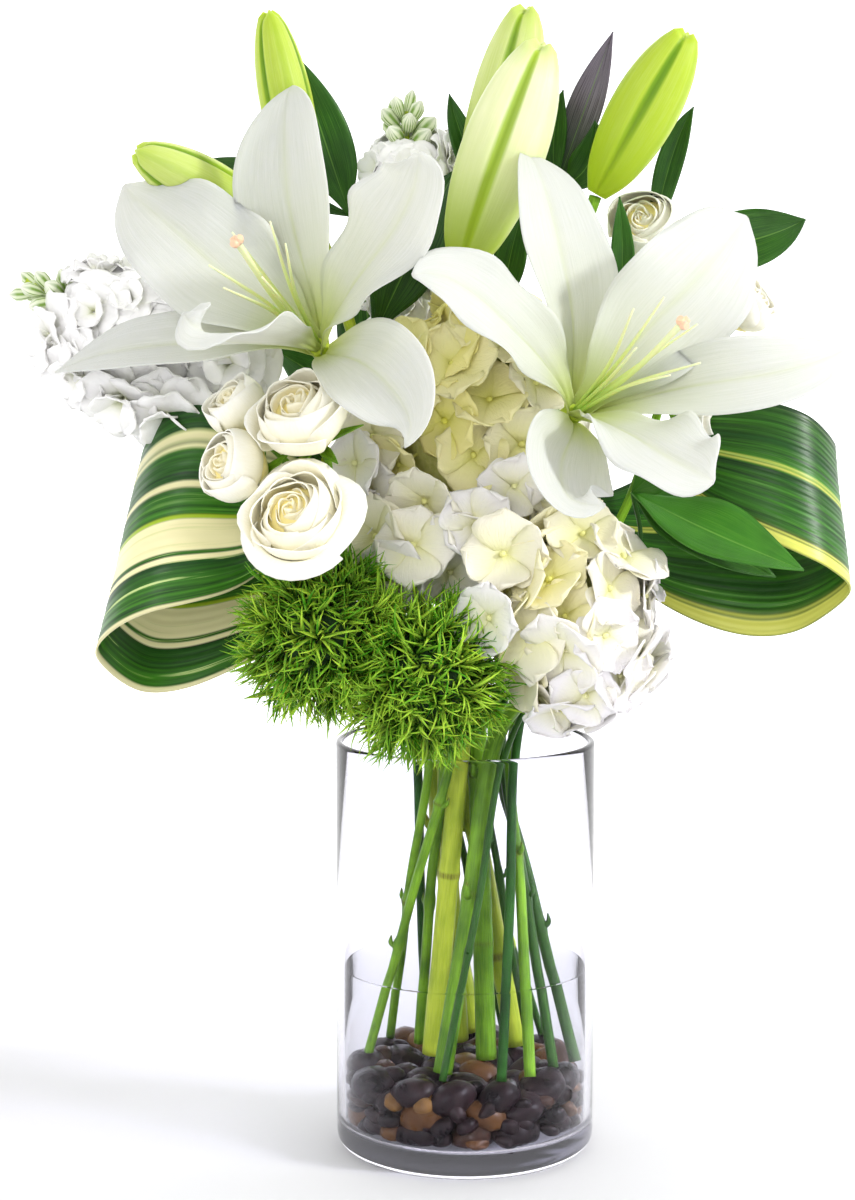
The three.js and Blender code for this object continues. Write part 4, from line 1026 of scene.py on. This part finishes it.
def build_hydrangea(name, centre, radii, florets, creamy, seed, hanging):
    """A round head of overlapping florets, creamier on top and deep inside; the cream deep inside
    is painted shade.
    """
    rng = np.random.default_rng(seed)
    heart = Skin()
    z = np.linspace(-0.97, 0.97, 15)
    r = np.sqrt(1 - z**2)[:, None] * (1 + 0.05 * np.sin(5 * angles(24) + 9 * z[:, None]))
    loft(heart, centre + level_rings(r, z, 24) * radii * HEART_SHARE)
    spots = [[], []]
    for number, direction in enumerate(spread_directions(florets)):
        direction = unit(direction + rng.uniform(-0.15, 0.15, 3))
        deep = 1.02 - 0.2 * rng.uniform() ** 1.5
        normal = unit(unit(direction / radii) + rng.uniform(-0.4, 0.4, 3))
        place = centre + direction * radii * deep - normal * FLORET_REACH * 0.16
        high = (place[2] - centre[2]) / radii[2]
        # creamier higher up and towards the left; florets sunk deep in the head get more cream, as
        # painted shade
        cream = creamy + 0.45 * high - 0.35 * direction[0] + 2.2 * (0.92 - deep)
        spots[number % 2].append((place, stood(normal, rng), rng.uniform(0.84, 1.14),
                                  np.clip(cream, 0, 1)))
    for number, (place, normal) in enumerate(hanging):
        spots[number % 2].append((place, stood(normal, rng), rng.uniform(0.95, 1.1),
                                  rng.uniform(0, 0.3)))
    mesh = heart.mesh(name + "_heart", "hydrangea_heart")
    for part in (0, 1):
        shape = floret_shape(seed + part, FLORET_OPENNESS[part], FLORET_TWIST[part])
        mesh = repeated(f"{name}_{part}", shape, spots[part], "hydrangea",
                        size=FLORET_REACH * MM, spread=0.05, seed=seed, core=mesh)
    mesh.name = name
    piece(name, mesh, "hydrangea_floret")


# ---- roses

ROSES = {
    # centre, the way it faces, radius, how many whorls
    "spray_rose_front": (vec(-76, -106, 319), vec(-0.3, -0.8, 0.55), 24, 8),
    "spray_rose_top": (vec(-74, -88, 363), vec(-0.35, -0.6, 0.72), 23, 7),
    "spray_rose_left": (vec(-105, -80, 340), vec(-0.75, -0.6, 0.3), 20, 6),
    "spray_rose_behind": (vec(-105, -62, 366), vec(-0.6, -0.35, 0.72), 17, 6),
    "white_rose_upper": (vec(88, 24, 452), vec(-0.3, -0.8, 0.5), 20, 6),
    "white_rose_right": (vec(136, 18, 414), vec(0.75, -0.35, 0.55), 18, 6),
    "white_rose_lower": (vec(117, -8, 358), vec(0.5, -0.75, 0.1), 18, 6),
}
ROSE_WHORLS = (
    # reach, height of the edge, petals, how far the edge rolls out, how much it closes in
    (0.8, 0.22, 3, 0.3, 0.0), (0.84, 0.42, 4, 0.12, 0.03), (0.78, 0.54, 3, 0.03, 0.15),
    (0.68, 0.56, 3, 0.0, 0.18), (0.38, 0.5, 3, 0.0, 0.02), (0.26, 0.53, 3, -0.02, 0.03),
    (0.16, 0.53, 3, -0.02, 0.03), (0.07, 0.5, 2, 0.0, 0.0),
)
# a rose without the widest whorl is made larger, to reach its radius
SMALL_ROSE_SCALE = 1.08
# how far the tone climbs towards the inner whorls: partly the roses' own cream, partly painted
# shade deep in the bloom
ROSE_CREAM_AND_SHADE = {"white": 0.4, "spray": 0.85}
# radius and height of the rings of the closed heart
ROSE_HEART = ((0.16, -0.66), (0.34, -0.6), (0.58, -0.35), (0.66, -0.05), (0.6, 0.12), (0.48, 0.24),
              (0.3, 0.33), (0.12, 0.38))
ROSE_SIDE = [(0, 0.14), (0.15, 0.55), (0.4, 0.93), (0.7, 1.04), (1, 0.98)]


def build_rose(name, centre, axis, radius, whorls):
    """Whorls of cupped petals, each tucked under its neighbour, round a tight heart."""
    axis = unit(axis)
    u, v = square_to(axis)
    rng = np.random.default_rng(int(abs(centre).sum()))
    scale = radius if whorls == len(ROSE_WHORLS) else radius * SMALL_ROSE_SCALE
    cream_and_shade = ROSE_CREAM_AND_SHADE[name.split("_")[0]]
    skin = Skin()
    s = np.linspace(0, 1, 15)[:, None]
    w = np.linspace(-1, 1, 15)[None, :]
    for ring, (reach, height, count, roll, close) in enumerate(ROSE_WHORLS[-whorls:]):
        turn = any_turn(rng)
        for k in range(count):
            middle = turn + 2 * math.pi * k / count + rng.uniform(-0.15, 0.15)
            span = 1.42 * math.pi / count
            tall = rng.uniform(-0.05, 0.05)
            top = height + tall - 0.22 * np.abs(w) ** 2.2
            up = -0.62 + (top + 0.62) * s**0.9
            out = reach * rng.uniform(0.95, 1.04) * profile(ROSE_SIDE, s)
            out = out + 0.075 * w * s * (0.5 + reach) - close * s**3
            lip = np.clip((s - 0.66) / 0.34, 0, 1) ** 1.8
            curl = roll * rng.uniform(0.6, 1.5)
            out = out + curl * lip * (1.2 - 0.5 * w**2)
            up = up - 0.7 * abs(curl) * lip * s
            ruffle = np.sin(rng.uniform(3, 6) * w + any_turn(rng)) * lip
            theta = middle + span * w * (0.55 + 0.45 * np.sin(np.pi * np.minimum(1, 1.2 * s) / 2))
            out = out + (0.02 + 0.05 * reach) * ruffle
            up = up + 0.035 * reach * ruffle
            grid = centre + scale * (axis * up[..., None]
                                     + out[..., None] * around(u, v, theta[..., None]))
            thick = np.maximum(0.35, 0.75 - 0.3 * w**2 - 0.2 * s)
            # the tone rises whorl by whorl inwards: partly cream, partly painted shade
            blade(skin, grid, thick, s, w,
                  0.08 + cream_and_shade * ring / whorls + rng.uniform(-0.05, 0.05))
    # the closed heart takes a warm tone: partly cream, partly painted shade
    rings = level_rings(*zip(*ROSE_HEART), 20)
    loft(skin, centre + scale * (rings @ np.array([u, v, axis])), 0.2, 0.0, 0.9)
    piece(name, skin, "rose_petal", "rose")


def rose_stalk(skin, name, fork, sepals):
    """A rose's own stalk with its green cup, and narrow leafy sepals under the bloom."""
    centre, axis, radius, _ = ROSES[name]
    axis = unit(axis)
    seat = centre - axis * 0.6 * radius
    back = seat - axis * 0.7 * radius
    tube(skin, [fork, back, seat], [1.7, 1.6, 1.8, 3.4], 10, 22, ((0.93, 0.05, 0.35),), 0.6)
    u, v = square_to(axis)
    share = np.linspace(0, 1, 11)
    w = np.linspace(-1, 1, 5)[None, :]
    half = 2.6 * profile([(0, 0.5), (0.3, 1), (0.6, 0.75), (1, 0.04)], share)[:, None]
    for k, angle in enumerate(angles(sepals) + 0.6):
        out = around(u, v, angle)
        tip = centre + out * radius * 0.98 - axis * radius * (0.75 + 0.2 * math.sin(3 * k))
        centreline = bezier([seat - axis * 0.2 * radius, seat + out * 0.55 * radius
                             - axis * 0.15 * radius, tip], share)
        side = unit(np.cross(unit(np.gradient(centreline, axis=0)), axis))
        grid = sheet(centreline, side, w * half, axis, 0.5 * np.abs(w) * half)
        blade(skin, grid, 0.6, share[:, None], w, 0.6)


# ---- stock

STOCKS = {
    # the spike's start and end, its girth and the size of its florets at each, the florets in
    # each ring, the closed buds and how far they reach, and single florets: place and facing
    "stock_left": {"start": vec(-112, 20, 388), "end": vec(-188, 8, 414), "girth": (45, 24),
                   "size": (25, 19), "rings": (7, 9, 8, 7, 5), "buds": 16, "reach": 29, "seed": 2,
                   "hanging": (
                       ((-196, 0, 396), (-0.8, -0.5, -0.2)), ((-184, -8, 382), (-0.5, -0.7, -0.5)),
                       ((-164, -10, 370), (-0.3, -0.7, -0.7)),
                       ((-142, -12, 362), (-0.1, -0.7, -0.7)))},
    "stock_top": {"start": vec(-20, 40, 412), "end": vec(-29, 30, 494), "girth": (25, 24),
                  "size": (19, 16), "rings": (5, 6, 6, 5), "buds": 12, "reach": 16, "seed": 6,
                  "hanging": ()},
}


def ruffled_shape():
    """A double floret: three whorls of crumpled petals. One unit is its reach."""
    rng = np.random.default_rng(17)
    skin = Skin()
    s = 1 - (1 - np.linspace(0.03, 1, 6)[:, None])**1.5
    w = np.linspace(-1, 1, 8)[None, :]
    for reach, lift, count in ((1.0, 0.02, 5), (0.8, 0.34, 4), (0.46, 0.6, 4)):
        turn = any_turn(rng)
        for k in range(count):
            angle = turn + 2 * math.pi * k / count + rng.uniform(-0.15, 0.15)
            r = reach * s * (1 - 0.14 * w**2 * s) * rng.uniform(0.88, 1.1)
            side = reach * 0.7 * np.sin(np.pi * np.minimum(0.9, 0.12 + 0.62 * s)) * w
            phase = any_turn(rng)
            rise = lift * s**0.8 + 0.11 * reach * np.sin(3.6 * w + 2.5 * s + phase) * s**1.5
            rise = rise + 0.05 * reach * np.sin(8 * w + 2 * phase) * s**3 - 0.12 * s**3
            floret_petal(skin, angle, r, side, rise + 0.015 * k, 0.03, s, w)
    return skin.mesh("ruffled_shape")


def build_stock(name, start, end, girth, size, rings, seed, hanging):
    """A spike of open double florets."""
    rng = np.random.default_rng(seed)
    axis = unit(end - start)
    u, v = square_to(axis)
    heart = Skin()
    tube(heart, [start + axis * 3, start + (end - start) * 0.94],
         [girth[0] * 0.45, girth[0] * 0.5, girth[1] * 0.5, girth[1] * 0.3], 14, 14)
    spots = []
    for ring, count in enumerate(rings):
        for k in range(count):
            share = (ring + 0.25 + 0.35 * rng.uniform()) / len(rings)
            angle = 2 * math.pi * (k + 0.5 * ring) / count + rng.uniform(-0.2, 0.2)
            out = around(u, v, angle)
            reach = girth[0] + (girth[1] - girth[0]) * share
            place = start + (end - start) * share + out * reach * rng.uniform(0.62, 0.84)
            normal = unit(out + axis * rng.uniform(0.1, 0.6))
            grow = (size[0] + (size[1] - size[0]) * share) * rng.uniform(0.9, 1.1)
            spots.append((place, stood(normal, rng), grow, rng.uniform()))
    for place, normal in hanging:
        spots.append((place, stood(normal, rng), size[0], 0.5))
    mesh = repeated(name, ruffled_shape(), spots, "stock", size=MM, spread=0.06, seed=seed,
                    core=heart.mesh(name + "_heart", "stock_heart"))
    piece(name, mesh, "stock_floret")


def closed_buds(skin, end, axis, reach, count, seed):
    """The green tip above the open florets, with its plump striped closed buds."""
    rng = np.random.default_rng(seed)
    u, v = square_to(axis)
    for k in range(count):
        share = k / count
        out = around(u, v, GOLDEN_TURN * k + rng.uniform(-0.2, 0.2))
        root = end + axis * reach * (share - 0.3)
        tip = root + out * (17 - 11 * share) * rng.uniform(0.85, 1.1) + axis * (9 + 5 * share)
        knob = (4.7 - 1.7 * share) * rng.uniform(0.9, 1.1)
        tube(skin, [root, (root + tip) / 2 - axis, tip],
             [0.9, 1.0, knob * 0.8, knob, knob, 0.8], 14, 14, (), rng.uniform(), 2, 2)


# ---- green dianthus

TUFTS = {
    # centre, radius, the next ball's centre, seed
    "dianthus_left": (vec(-66, -66, 262), 47, vec(-20, -70, 243), 21),
    "dianthus_right": (vec(-20, -70, 243), 46, vec(-66, -66, 262), 34),
}
TUFT_HEART_SHARE = 0.46
# needles stand in tufts: how many tufts, how far out from the centre, length of the needles
NEEDLE_LAYERS = ((130, 0.56, 21.0), (90, 0.42, 20.0), (50, 0.3, 20.0))
NEEDLES_IN_A_TUFT = 11


def needle_shape():
    """A slim curved needle that stands up and leans over. One unit is its length."""
    rows = np.linspace(0, 1, 5)
    width = np.interp(rows, [0, 0.35, 0.7, 1], [0.028, 0.037, 0.028, 0.005])
    rings = level_rings(width, rows - 0.1 * rows**2, 3) * (0.7, 1.3, 1)
    rings[..., 0] += 0.5 * rows[:, None]**2.2
    skin = Skin()
    loft(skin, rings / MM, rows[:, None])
    return skin.mesh("needle_shape")


def build_tuft(name, centre, radius, away, seed):
    """A ball of small forked fans of needles; those near the next ball stay on this side."""
    rng = np.random.default_rng(seed)
    to_next = away - centre
    halfway = np.linalg.norm(to_next) / 2
    to_next = unit(to_next)
    spots = []
    for count, depth, length in NEEDLE_LAYERS:
        for direction in spread_directions(count):
            direction = unit(direction + rng.uniform(-0.2, 0.2, 3))
            base = centre + direction * radius * depth * rng.uniform(0.88, 1.1)
            if (base - centre).dot(to_next) > halfway + 3:
                continue
            lean = unit(direction + rng.uniform(-0.45, 0.45, 3))
            u, v = square_to(lean)
            tone = rng.uniform() ** 1.4
            for k in range(NEEDLES_IN_A_TUFT):
                side = around(u, v, GOLDEN_TURN * k + rng.uniform(-0.25, 0.25))
                way = unit(lean + side * rng.uniform(0.2, 0.95) * (1 - 0.06 * k))
                place = base + side * 0.7 + lean * k * 0.9
                size = length * rng.uniform(0.72, 1.1) * (1 - 0.035 * k)
                tip = place + way * size - centre
                if tip.dot(to_next) > halfway + 11 or np.linalg.norm(tip) > radius * 1.06:
                    continue
                spots.append((place, stood(way, rng), size,
                              np.clip(tone + rng.uniform(-0.15, 0.2), 0, 1)))
    heart = Skin()
    z = np.linspace(-0.98, 0.98, 19)
    rings = level_rings(np.sqrt(1 - z**2), z, 28) * radius * TUFT_HEART_SHARE
    past = np.maximum(0, rings @ to_next - halfway + 1)
    loft(heart, centre + rings - past[..., None] * to_next)
    mesh = repeated(name, needle_shape(), spots, "needle", size=MM, spread=0.05, seed=seed,
                    core=heart.mesh(name + "_heart", "needle_heart"))
    piece(name, mesh, "green_needle")


# ---- dark leaves

LEAF_WIDTH = [(0, 0.07), (0.12, 0.3), (0.33, 0.84), (0.5, 1), (0.68, 0.9), (0.86, 0.5), (1, 0.02)]


def leaf(skin, spring, base, tip, width, facing, tone, wave):
    """A pointed leaf, folded a little along its rib, that starts on its stem."""
    share = np.linspace(0, 1, 25)
    centre = bezier([spring, base + (tip - base) * 0.35, tip], share)
    run = unit(np.gradient(centre, axis=0))
    across = unit(np.cross(run, facing))
    normal = unit(np.cross(across, run))
    half = width / 2 * profile(LEAF_WIDTH, share)[:, None]
    w = np.linspace(-1, 1, 11)[None, :]
    s = share[:, None]
    lift = half * 0.24 * np.abs(w) ** 1.3
    lift = lift + 0.045 * width * np.sin(2 * np.pi * (1.4 * s + wave)) * w * np.sin(np.pi * s)
    lift = lift - 0.35 * np.exp(-((w / 0.08) ** 2))
    grid = sheet(centre, across, w * half, normal[:, None], lift)
    blade(skin, grid, 0.95 - 0.35 * np.abs(w), s, w, tone)


FRONT, BACK = (0, -1, 0.3), (0, 1, 0.3)
SPRIGS = {
    # seat, radius, the stem above the mouth, then leaves: base, tip, width, tone, facing if it
    # is not FRONT or, in the sprigs at the back, BACK
    "ruscus_left": ((-15, 15), 1.9, [(-22, 24, 260), (-36, 26, 340), (-44, 16, 400),
                                     (-48, 12, 440), (-56, 12, 457)], [
        ((-57, 11, 458), (-81, 5, 532), 26, 0.3),
        ((-92, 6, 465), (-126, 5, 483), 20, 0.15),
        ((-38, -2, 416), (-5, 0, 478), 32, 0.1),
        ((-32, -22, 418), (-22, -26, 447), 14, 0.4)]),
    "ruscus_centre": ((5, 16), 1.9, [(8, 26, 260), (14, 32, 340), (18, 28, 410), (26, 24, 440),
                                     (44, 20, 470)], [
        ((2, 22, 470), (-8, 15, 515), 14, 0.2),
        ((36, 20, 480), (47, 16, 517), 12, 0.2),
        ((45, 20, 474), (71, 20, 545), 17, 0.0),
        ((66, 14, 462), (62, 10, 502), 18, 0.2),
        ((16, 8, 424), (27, 5, 458), 16, 0.3)]),
    "ruscus_right": ((18, 18), 2.5, [(30, 28, 260), (56, 36, 340), (76, 38, 400), (92, 36, 440)], [
        ((90, 28, 474), (110, 16, 509), 13, 0.2),
        ((124, 18, 432), (164, 10, 455), 31, 0.35),
        ((78, -8, 412), (73, -4, 465), 12, 0.4)]),
    "ruscus_front": ((22, -12), 1.8, [(56, -14, 262), (82, -26, 300), (78, -34, 326)], [
        ((80, -58, 320), (153, -75, 293), 33, 0.75, (0.1, -0.7, 0.7)),
        ((74, -44, 318), (143, -56, 288), 24, 0.3, (0.1, -0.7, 0.5)),
        ((82, -36, 330), (104, -62, 352), 24, 0.5, (0, -0.8, 0.4))]),
    "ruscus_back_left": ((-10, 24), 1.9, [(-20, 42, 248), (-34, 56, 300), (-44, 62, 360)], [
        ((-46, 62, 362), (-96, 70, 392), 34, 0.4),
        ((-42, 64, 366), (-54, 76, 446), 34, 0.3),
        ((-36, 60, 312), (-4, 82, 384), 36, 0.5),
        ((-34, 58, 300), (-92, 84, 300), 36, 0.4, (0, 1, 0.4)),
        ((-24, 48, 254), (-48, 88, 232), 36, 0.6, (0, 1, 0.6))]),
    "ruscus_back_right": ((14, 25), 2.9, [(28, 42, 248), (44, 56, 300), (54, 62, 360)], [
        ((56, 62, 362), (106, 70, 386), 34, 0.4),
        ((54, 64, 366), (64, 76, 444), 34, 0.3),
        ((46, 60, 312), (16, 84, 390), 36, 0.5),
        ((44, 58, 300), (100, 82, 296), 36, 0.4, (0, 1, 0.4)),
        ((30, 48, 254), (22, 90, 226), 38, 0.6, (0, 1, 0.6))]),
}


def build_sprig(name, seat, radius, above, leaves):
    """A leafy stem: every leaf springs from the nearest point of the stem."""
    skin = Skin()
    full_stem(skin, seat, above, [radius, radius, radius * 0.8, radius * 0.6],
              ((0.2, 0.008, 0.25), (0.38, 0.008, 0.25)), 0.2, 10, 70)
    side = BACK if "back" in name else FRONT
    for number, (base, tip, width, tone, *own) in enumerate(leaves):
        base, tip = vec(*base), vec(*tip)
        spring = min((vec(*p) for p in above), key=lambda p: np.linalg.norm(p - base))
        leaf(skin, spring, base, tip, width, own[0] if own else side, tone, 0.37 * number)
    piece(name, skin, "dark_leaf", "dark_leaf", "cut")


# ---- looped striped leaves

LOOPS = {
    # seat, how its upper edge stands off the lower one, how high it stands along the leaf, the
    # finish's tone, the lower edge, and the stalk above the mouth
    "aspidistra_left": {
        "seat": (-25, -4), "rise": vec(24, 40, 110), "top": [(0, 1), (1, 1)], "tone": 1.0,
        "lower": [(-52, 14, 262), (-84, 16, 240), (-120, 8, 230), (-158, -2, 227),
                  (-176, -28, 248), (-164, -50, 266), (-146, -56, 274), (-110, -46, 273),
                  (-84, -26, 276)],
        "petiole": [(-34, 6, 262), (-60, 18, 288)],
    },
    "aspidistra_right": {
        "seat": (26, 2), "rise": vec(-6, 34, 92), "tone": 0.0,
        "top": [(0, 1), (0.36, 1), (0.5, 0.8), (0.58, 0.7), (0.7, 0.7), (1, 0.76)],
        "lower": [(62, 12, 270), (92, 12, 256), (130, 6, 252), (162, -2, 257), (182, -28, 279),
                  (170, -46, 293), (152, -50, 301), (124, -40, 306), (98, -22, 308)],
        "petiole": [(42, 14, 262), (70, 20, 290)],
    },
}
LOOP_ROWS, LOOP_COLUMNS, LOOP_RIBS = 140, 49, 16
RIBBON_WIDTH = [(0, 0.16), (0.14, 0.62), (0.3, 0.96), (0.5, 1), (0.8, 0.98), (0.92, 0.7), (1, 0.34)]


def build_loop(name, seat, rise, top, tone, lower, petiole):
    """A long ribbon-like leaf folded back on itself, with fine ribs along it."""
    edge = smooth_path(lower, LOOP_ROWS)
    share = np.linspace(0, 1, LOOP_ROWS)
    size = profile(RIBBON_WIDTH, share)
    w = np.linspace(0, 1, LOOP_COLUMNS)
    start = edge + rise * ((1 - size) * 0.42)[:, None]
    grid = start[:, None] + rise * ((size * profile(top, share))[:, None] * w)[..., None]
    normal = unit(np.cross(np.gradient(grid, axis=1), np.gradient(grid, axis=0)))
    ribs = 0.1 * np.sin(2 * np.pi * LOOP_RIBS * w)[None, :]
    waves = 0.9 * np.sin(2 * np.pi * (2.3 * share[:, None] + 0.4 * w)) * np.sin(np.pi * w)
    grid = grid + normal * (ribs + waves)[..., None]
    skin = Skin()
    blade(skin, grid, 0.8, share[:, None], w[None, :], tone)
    middle = start + rise * (size * 0.5)[:, None]
    tube(skin, [*in_vase(seat), *petiole, middle[0], middle[9]], [2.4, 2.4, 2.2, 1.5], 14, 70, (),
         0.4, 1, 2)
    piece(name, skin, "striped_leaf", "striped_leaf", "dark_stem", "cut")


# ---- stems

def bud_branch(skin, fork, bend, name):
    """The side stem that carries a bud."""
    foot, tip = vec(*BUDS[name][0]), vec(*BUDS[name][1])
    branch(skin, [fork, bend, foot - unit(tip - foot) * 1.1], [2.7, 2.1, 2.3, 3.0])


def neck_foot(name):
    """Where the stem meets the green neck of a lily."""
    return LILIES[name]["throat"] - LILIES[name]["axis"] * NECK_FOOT


def build_stems():
    """The stems that stand in the water, with what each of them carries as its own."""
    skin, fork = Skin(), (-52, -6, 392)
    full_stem(skin, (-12, 2), [(-24, 8, 270), (-42, 6, 340), fork], [4.6, 4.2, 3.6],
              ((0.12, 0.01, 0.12), (0.34, 0.012, 0.12)), 0.7)
    branch(skin, [fork, (-58, -28, 388), neck_foot("lily_left")], [2.8, 2.6, 2.7])
    bud_branch(skin, fork, (-66, -10, 428), "lily_bud_left")
    bud_branch(skin, fork, (-62, 6, 428), "lily_bud_upper_left")
    piece("lily_stem_left", skin, "stem", *LIME_STEM)

    skin, fork = Skin(), (30, 14, 384)
    full_stem(skin, (6, 4), [(8, 14, 260), (20, 18, 330), fork], [5, 4.6, 4],
              ((0.17, 0.01, 0.1), (0.4, 0.012, 0.1)), 0.4)
    branch(skin, [fork, (40, -24, 366), neck_foot("lily_right")], [3, 2.8, 2.7])
    bud_branch(skin, fork, (6, 10, 418), "lily_bud_centre_back")
    bud_branch(skin, fork, (4, -14, 404), "lily_bud_centre_front")
    bud_branch(skin, fork, (50, 4, 430), "lily_bud_right")
    piece("lily_stem_right", skin, "stem", *STEM)

    plain = (
        ("hydrangea_upper_stem", "lime_stem", LIME_STEM, (-2, -8),
         [(0, -16, 250), (2, -18, 300), (2, -20, 346)], [5.2, 4.8, 3.6],
         ((0.3, 0.012, 0.14), (0.55, 0.012, 0.12)), 0.8),
        ("hydrangea_lower_stem", "stem", STEM, (15, -10),
         [(30, -34, 232), (50, -58, 262)], [4.6, 4.4, 3.4], ((0.35, 0.014, 0.15),), 0.5),
        ("dianthus_left_stem", "stem", STEM, (-19, -15),
         [(-42, -42, 232), TUFTS["dianthus_left"][0]], [2.2, 2.2, 2],
         ((0.3, 0.01, 0.5), (0.62, 0.01, 0.5)), 0.6),
        ("dianthus_right_stem", "stem", STEM, (-6, -24),
         [(-14, -50, 228), TUFTS["dianthus_right"][0]], [2.3, 2.3, 2],
         ((0.26, 0.01, 0.5), (0.58, 0.01, 0.5)), 0.5),
    )
    for name, slot, finishes, seat, above, radii, swells, tone in plain:
        skin = Skin()
        full_stem(skin, seat, above, radii, swells, tone)
        piece(name, skin, slot, *finishes)

    skin, fork = Skin(), vec(-66, -62, 322)
    full_stem(skin, (-12, -9), [(-40, -34, 262), (-58, -52, 300), fork], [2.6, 2.4, 2.2],
              ((0.25, 0.01, 0.3), (0.5, 0.01, 0.3)))
    for which, sepals in (("front", 5), ("top", 5), ("left", 5), ("behind", 0)):
        rose_stalk(skin, "spray_rose_" + which, fork, sepals)
    piece("spray_rose_stem", skin, "stem", *STEM)

    skin, fork = Skin(), vec(98, 24, 372)
    full_stem(skin, (24, 10), [(52, 22, 262), (82, 26, 320), fork], [2.8, 2.4, 2.2],
              ((0.3, 0.01, 0.3), (0.52, 0.01, 0.3)))
    for which in ("upper", "right", "lower"):
        rose_stalk(skin, "white_rose_" + which, fork, 0)
    piece("white_rose_stem", skin, "stem", *STEM)

    for name, seat, above, beyond in (
        ("stock_left", (-20, 7), [(-46, 20, 280), (-78, 24, 350)], (-212, 6, 426)),
        ("stock_top", (-4, 15), [(-10, 30, 280), (-17, 40, 350)], (-29, 29, 508)),
    ):
        spike = STOCKS[name]
        start, end = spike["start"], spike["end"]
        skin = Skin()
        full_stem(skin, seat, [*above, start, end, beyond], [5.4, 5, 3.6, 3, 1.6],
                  ((0.1, 0.012, 0.16), (0.24, 0.012, 0.16)), 0.6)
        closed_buds(skin, end, unit(end - start), spike["reach"], spike["buds"], spike["seed"])
        piece(name + "_stem", skin, "lime_stem", *LIME_STEM, "closed_bud")
        build_stock(name + "_florets", start, end, spike["girth"], spike["size"],
                    spike["rings"], spike["seed"], spike["hanging"])


# ---- floor, light and camera

# the floor's line from front to back and its height, as it sweeps up into the backdrop
FLOOR_SWEEP = ((-14000, 0), (-1000, 0), (900, 0), (2200, 0), (3200, 90), (4300, 520),
               (5000, 1300), (5350, 2500), (5500, 5000), (5500, 10500))
FLOOR_SIDES = (-15000, -5000, 5000, 15000)
# how much the floor glows, by how many metres it lies behind the vase
FLOOR_GLOW = ((0.0, 0.05), (0.15, 0.09), (0.5, 0.8), (1.0, 1.0))
SKY_STRENGTH = 0.84
LAMPS = (
    # name, place in metres, width in metres, power in watts
    ("key_light", (2.0, -0.8, 1.45), 0.4, 42.0),
    ("front_light", (-0.6, -2.0, 1.0), 1.1, 13.5),
    ("left_light", (-1.5, -0.9, 0.5), 0.8, 2.5),
)
LAMPS_AIM = Vector((0, 0, 0.25))
CAMERA_PLACE = (-0.0185, -1.2, 0.402)
CAMERA_TILT_DOWN = 6.22
LENS, SENSOR, SIGHT = 74.4, 36.0, 60.0


def build_stage():
    """A pale floor that sweeps up into a pale backdrop, soft light, and the camera."""
    floor = Finish("pale_floor", roughness=0.85, emission_color=(1.0, 1.0, 1.0, 1.0))
    shown = floor.place()
    behind = floor.node("ShaderNodeSeparateXYZ", {0: shown}).outputs[1]
    floor.feed(floor.shader.inputs["Emission Strength"], floor.ramp(behind, *FLOOR_GLOW))
    skin = Skin()
    path = smooth_path([(0, y, z) for y, z in FLOOR_SWEEP], 90)
    grid = np.stack([path + (x, 0, 0) for x in FLOOR_SIDES], axis=1)
    blade(skin, grid - (0, 0, 0.5), 1.0)
    mesh = skin.mesh("floor")
    mesh.materials.append(floor.coat(floor.mix(floor.noise(shown, 2.0), "d8d8d9", "d4d4d6")))
    put(bpy.data.objects.new("floor", mesh))

    world = bpy.data.worlds.new("studio")
    world.use_nodes = True
    sky = world.node_tree.nodes["Background"]
    sky.inputs["Color"].default_value = (1.0, 1.0, 1.0, 1.0)
    sky.inputs["Strength"].default_value = SKY_STRENGTH
    bpy.context.scene.world = world
    bpy.context.scene.view_settings.view_transform = "Standard"
    for name, place, size, power in LAMPS:
        data = bpy.data.lights.new(name, "AREA")
        data.shape = "DISK"
        data.size = size
        data.energy = power
        lamp = put(bpy.data.objects.new(name, data))
        lamp.location = place
        lamp.rotation_euler = (LAMPS_AIM - Vector(place)).to_track_quat("-Z", "Y").to_euler()

    lens = bpy.data.cameras.new("camera")
    lens.lens = LENS
    lens.sensor_width = SENSOR
    lens.clip_end = SIGHT
    camera = put(bpy.data.objects.new("camera", lens))
    camera.location = CAMERA_PLACE
    camera.rotation_euler = (math.radians(90 - CAMERA_TILT_DOWN), 0.0, 0.0)
    bpy.context.scene.camera = camera


# ---- the bouquet, piece by piece

build_stage()
build_vase()
build_water()
build_pebbles()
build_stems()
for name, lily in LILIES.items():
    build_lily(name, lily)
for name, shape in BUDS.items():
    build_bud(name, *shape)
for name, shape in ROSES.items():
    build_rose(name, *shape)
for name, shape in SPRIGS.items():
    build_sprig(name, *shape)
for name, shape in LOOPS.items():
    build_loop(name, **shape)
for name, shape in HEADS.items():
    build_hydrangea(name, *shape)
for name, shape in TUFTS.items():
    build_tuft(name, *shape)
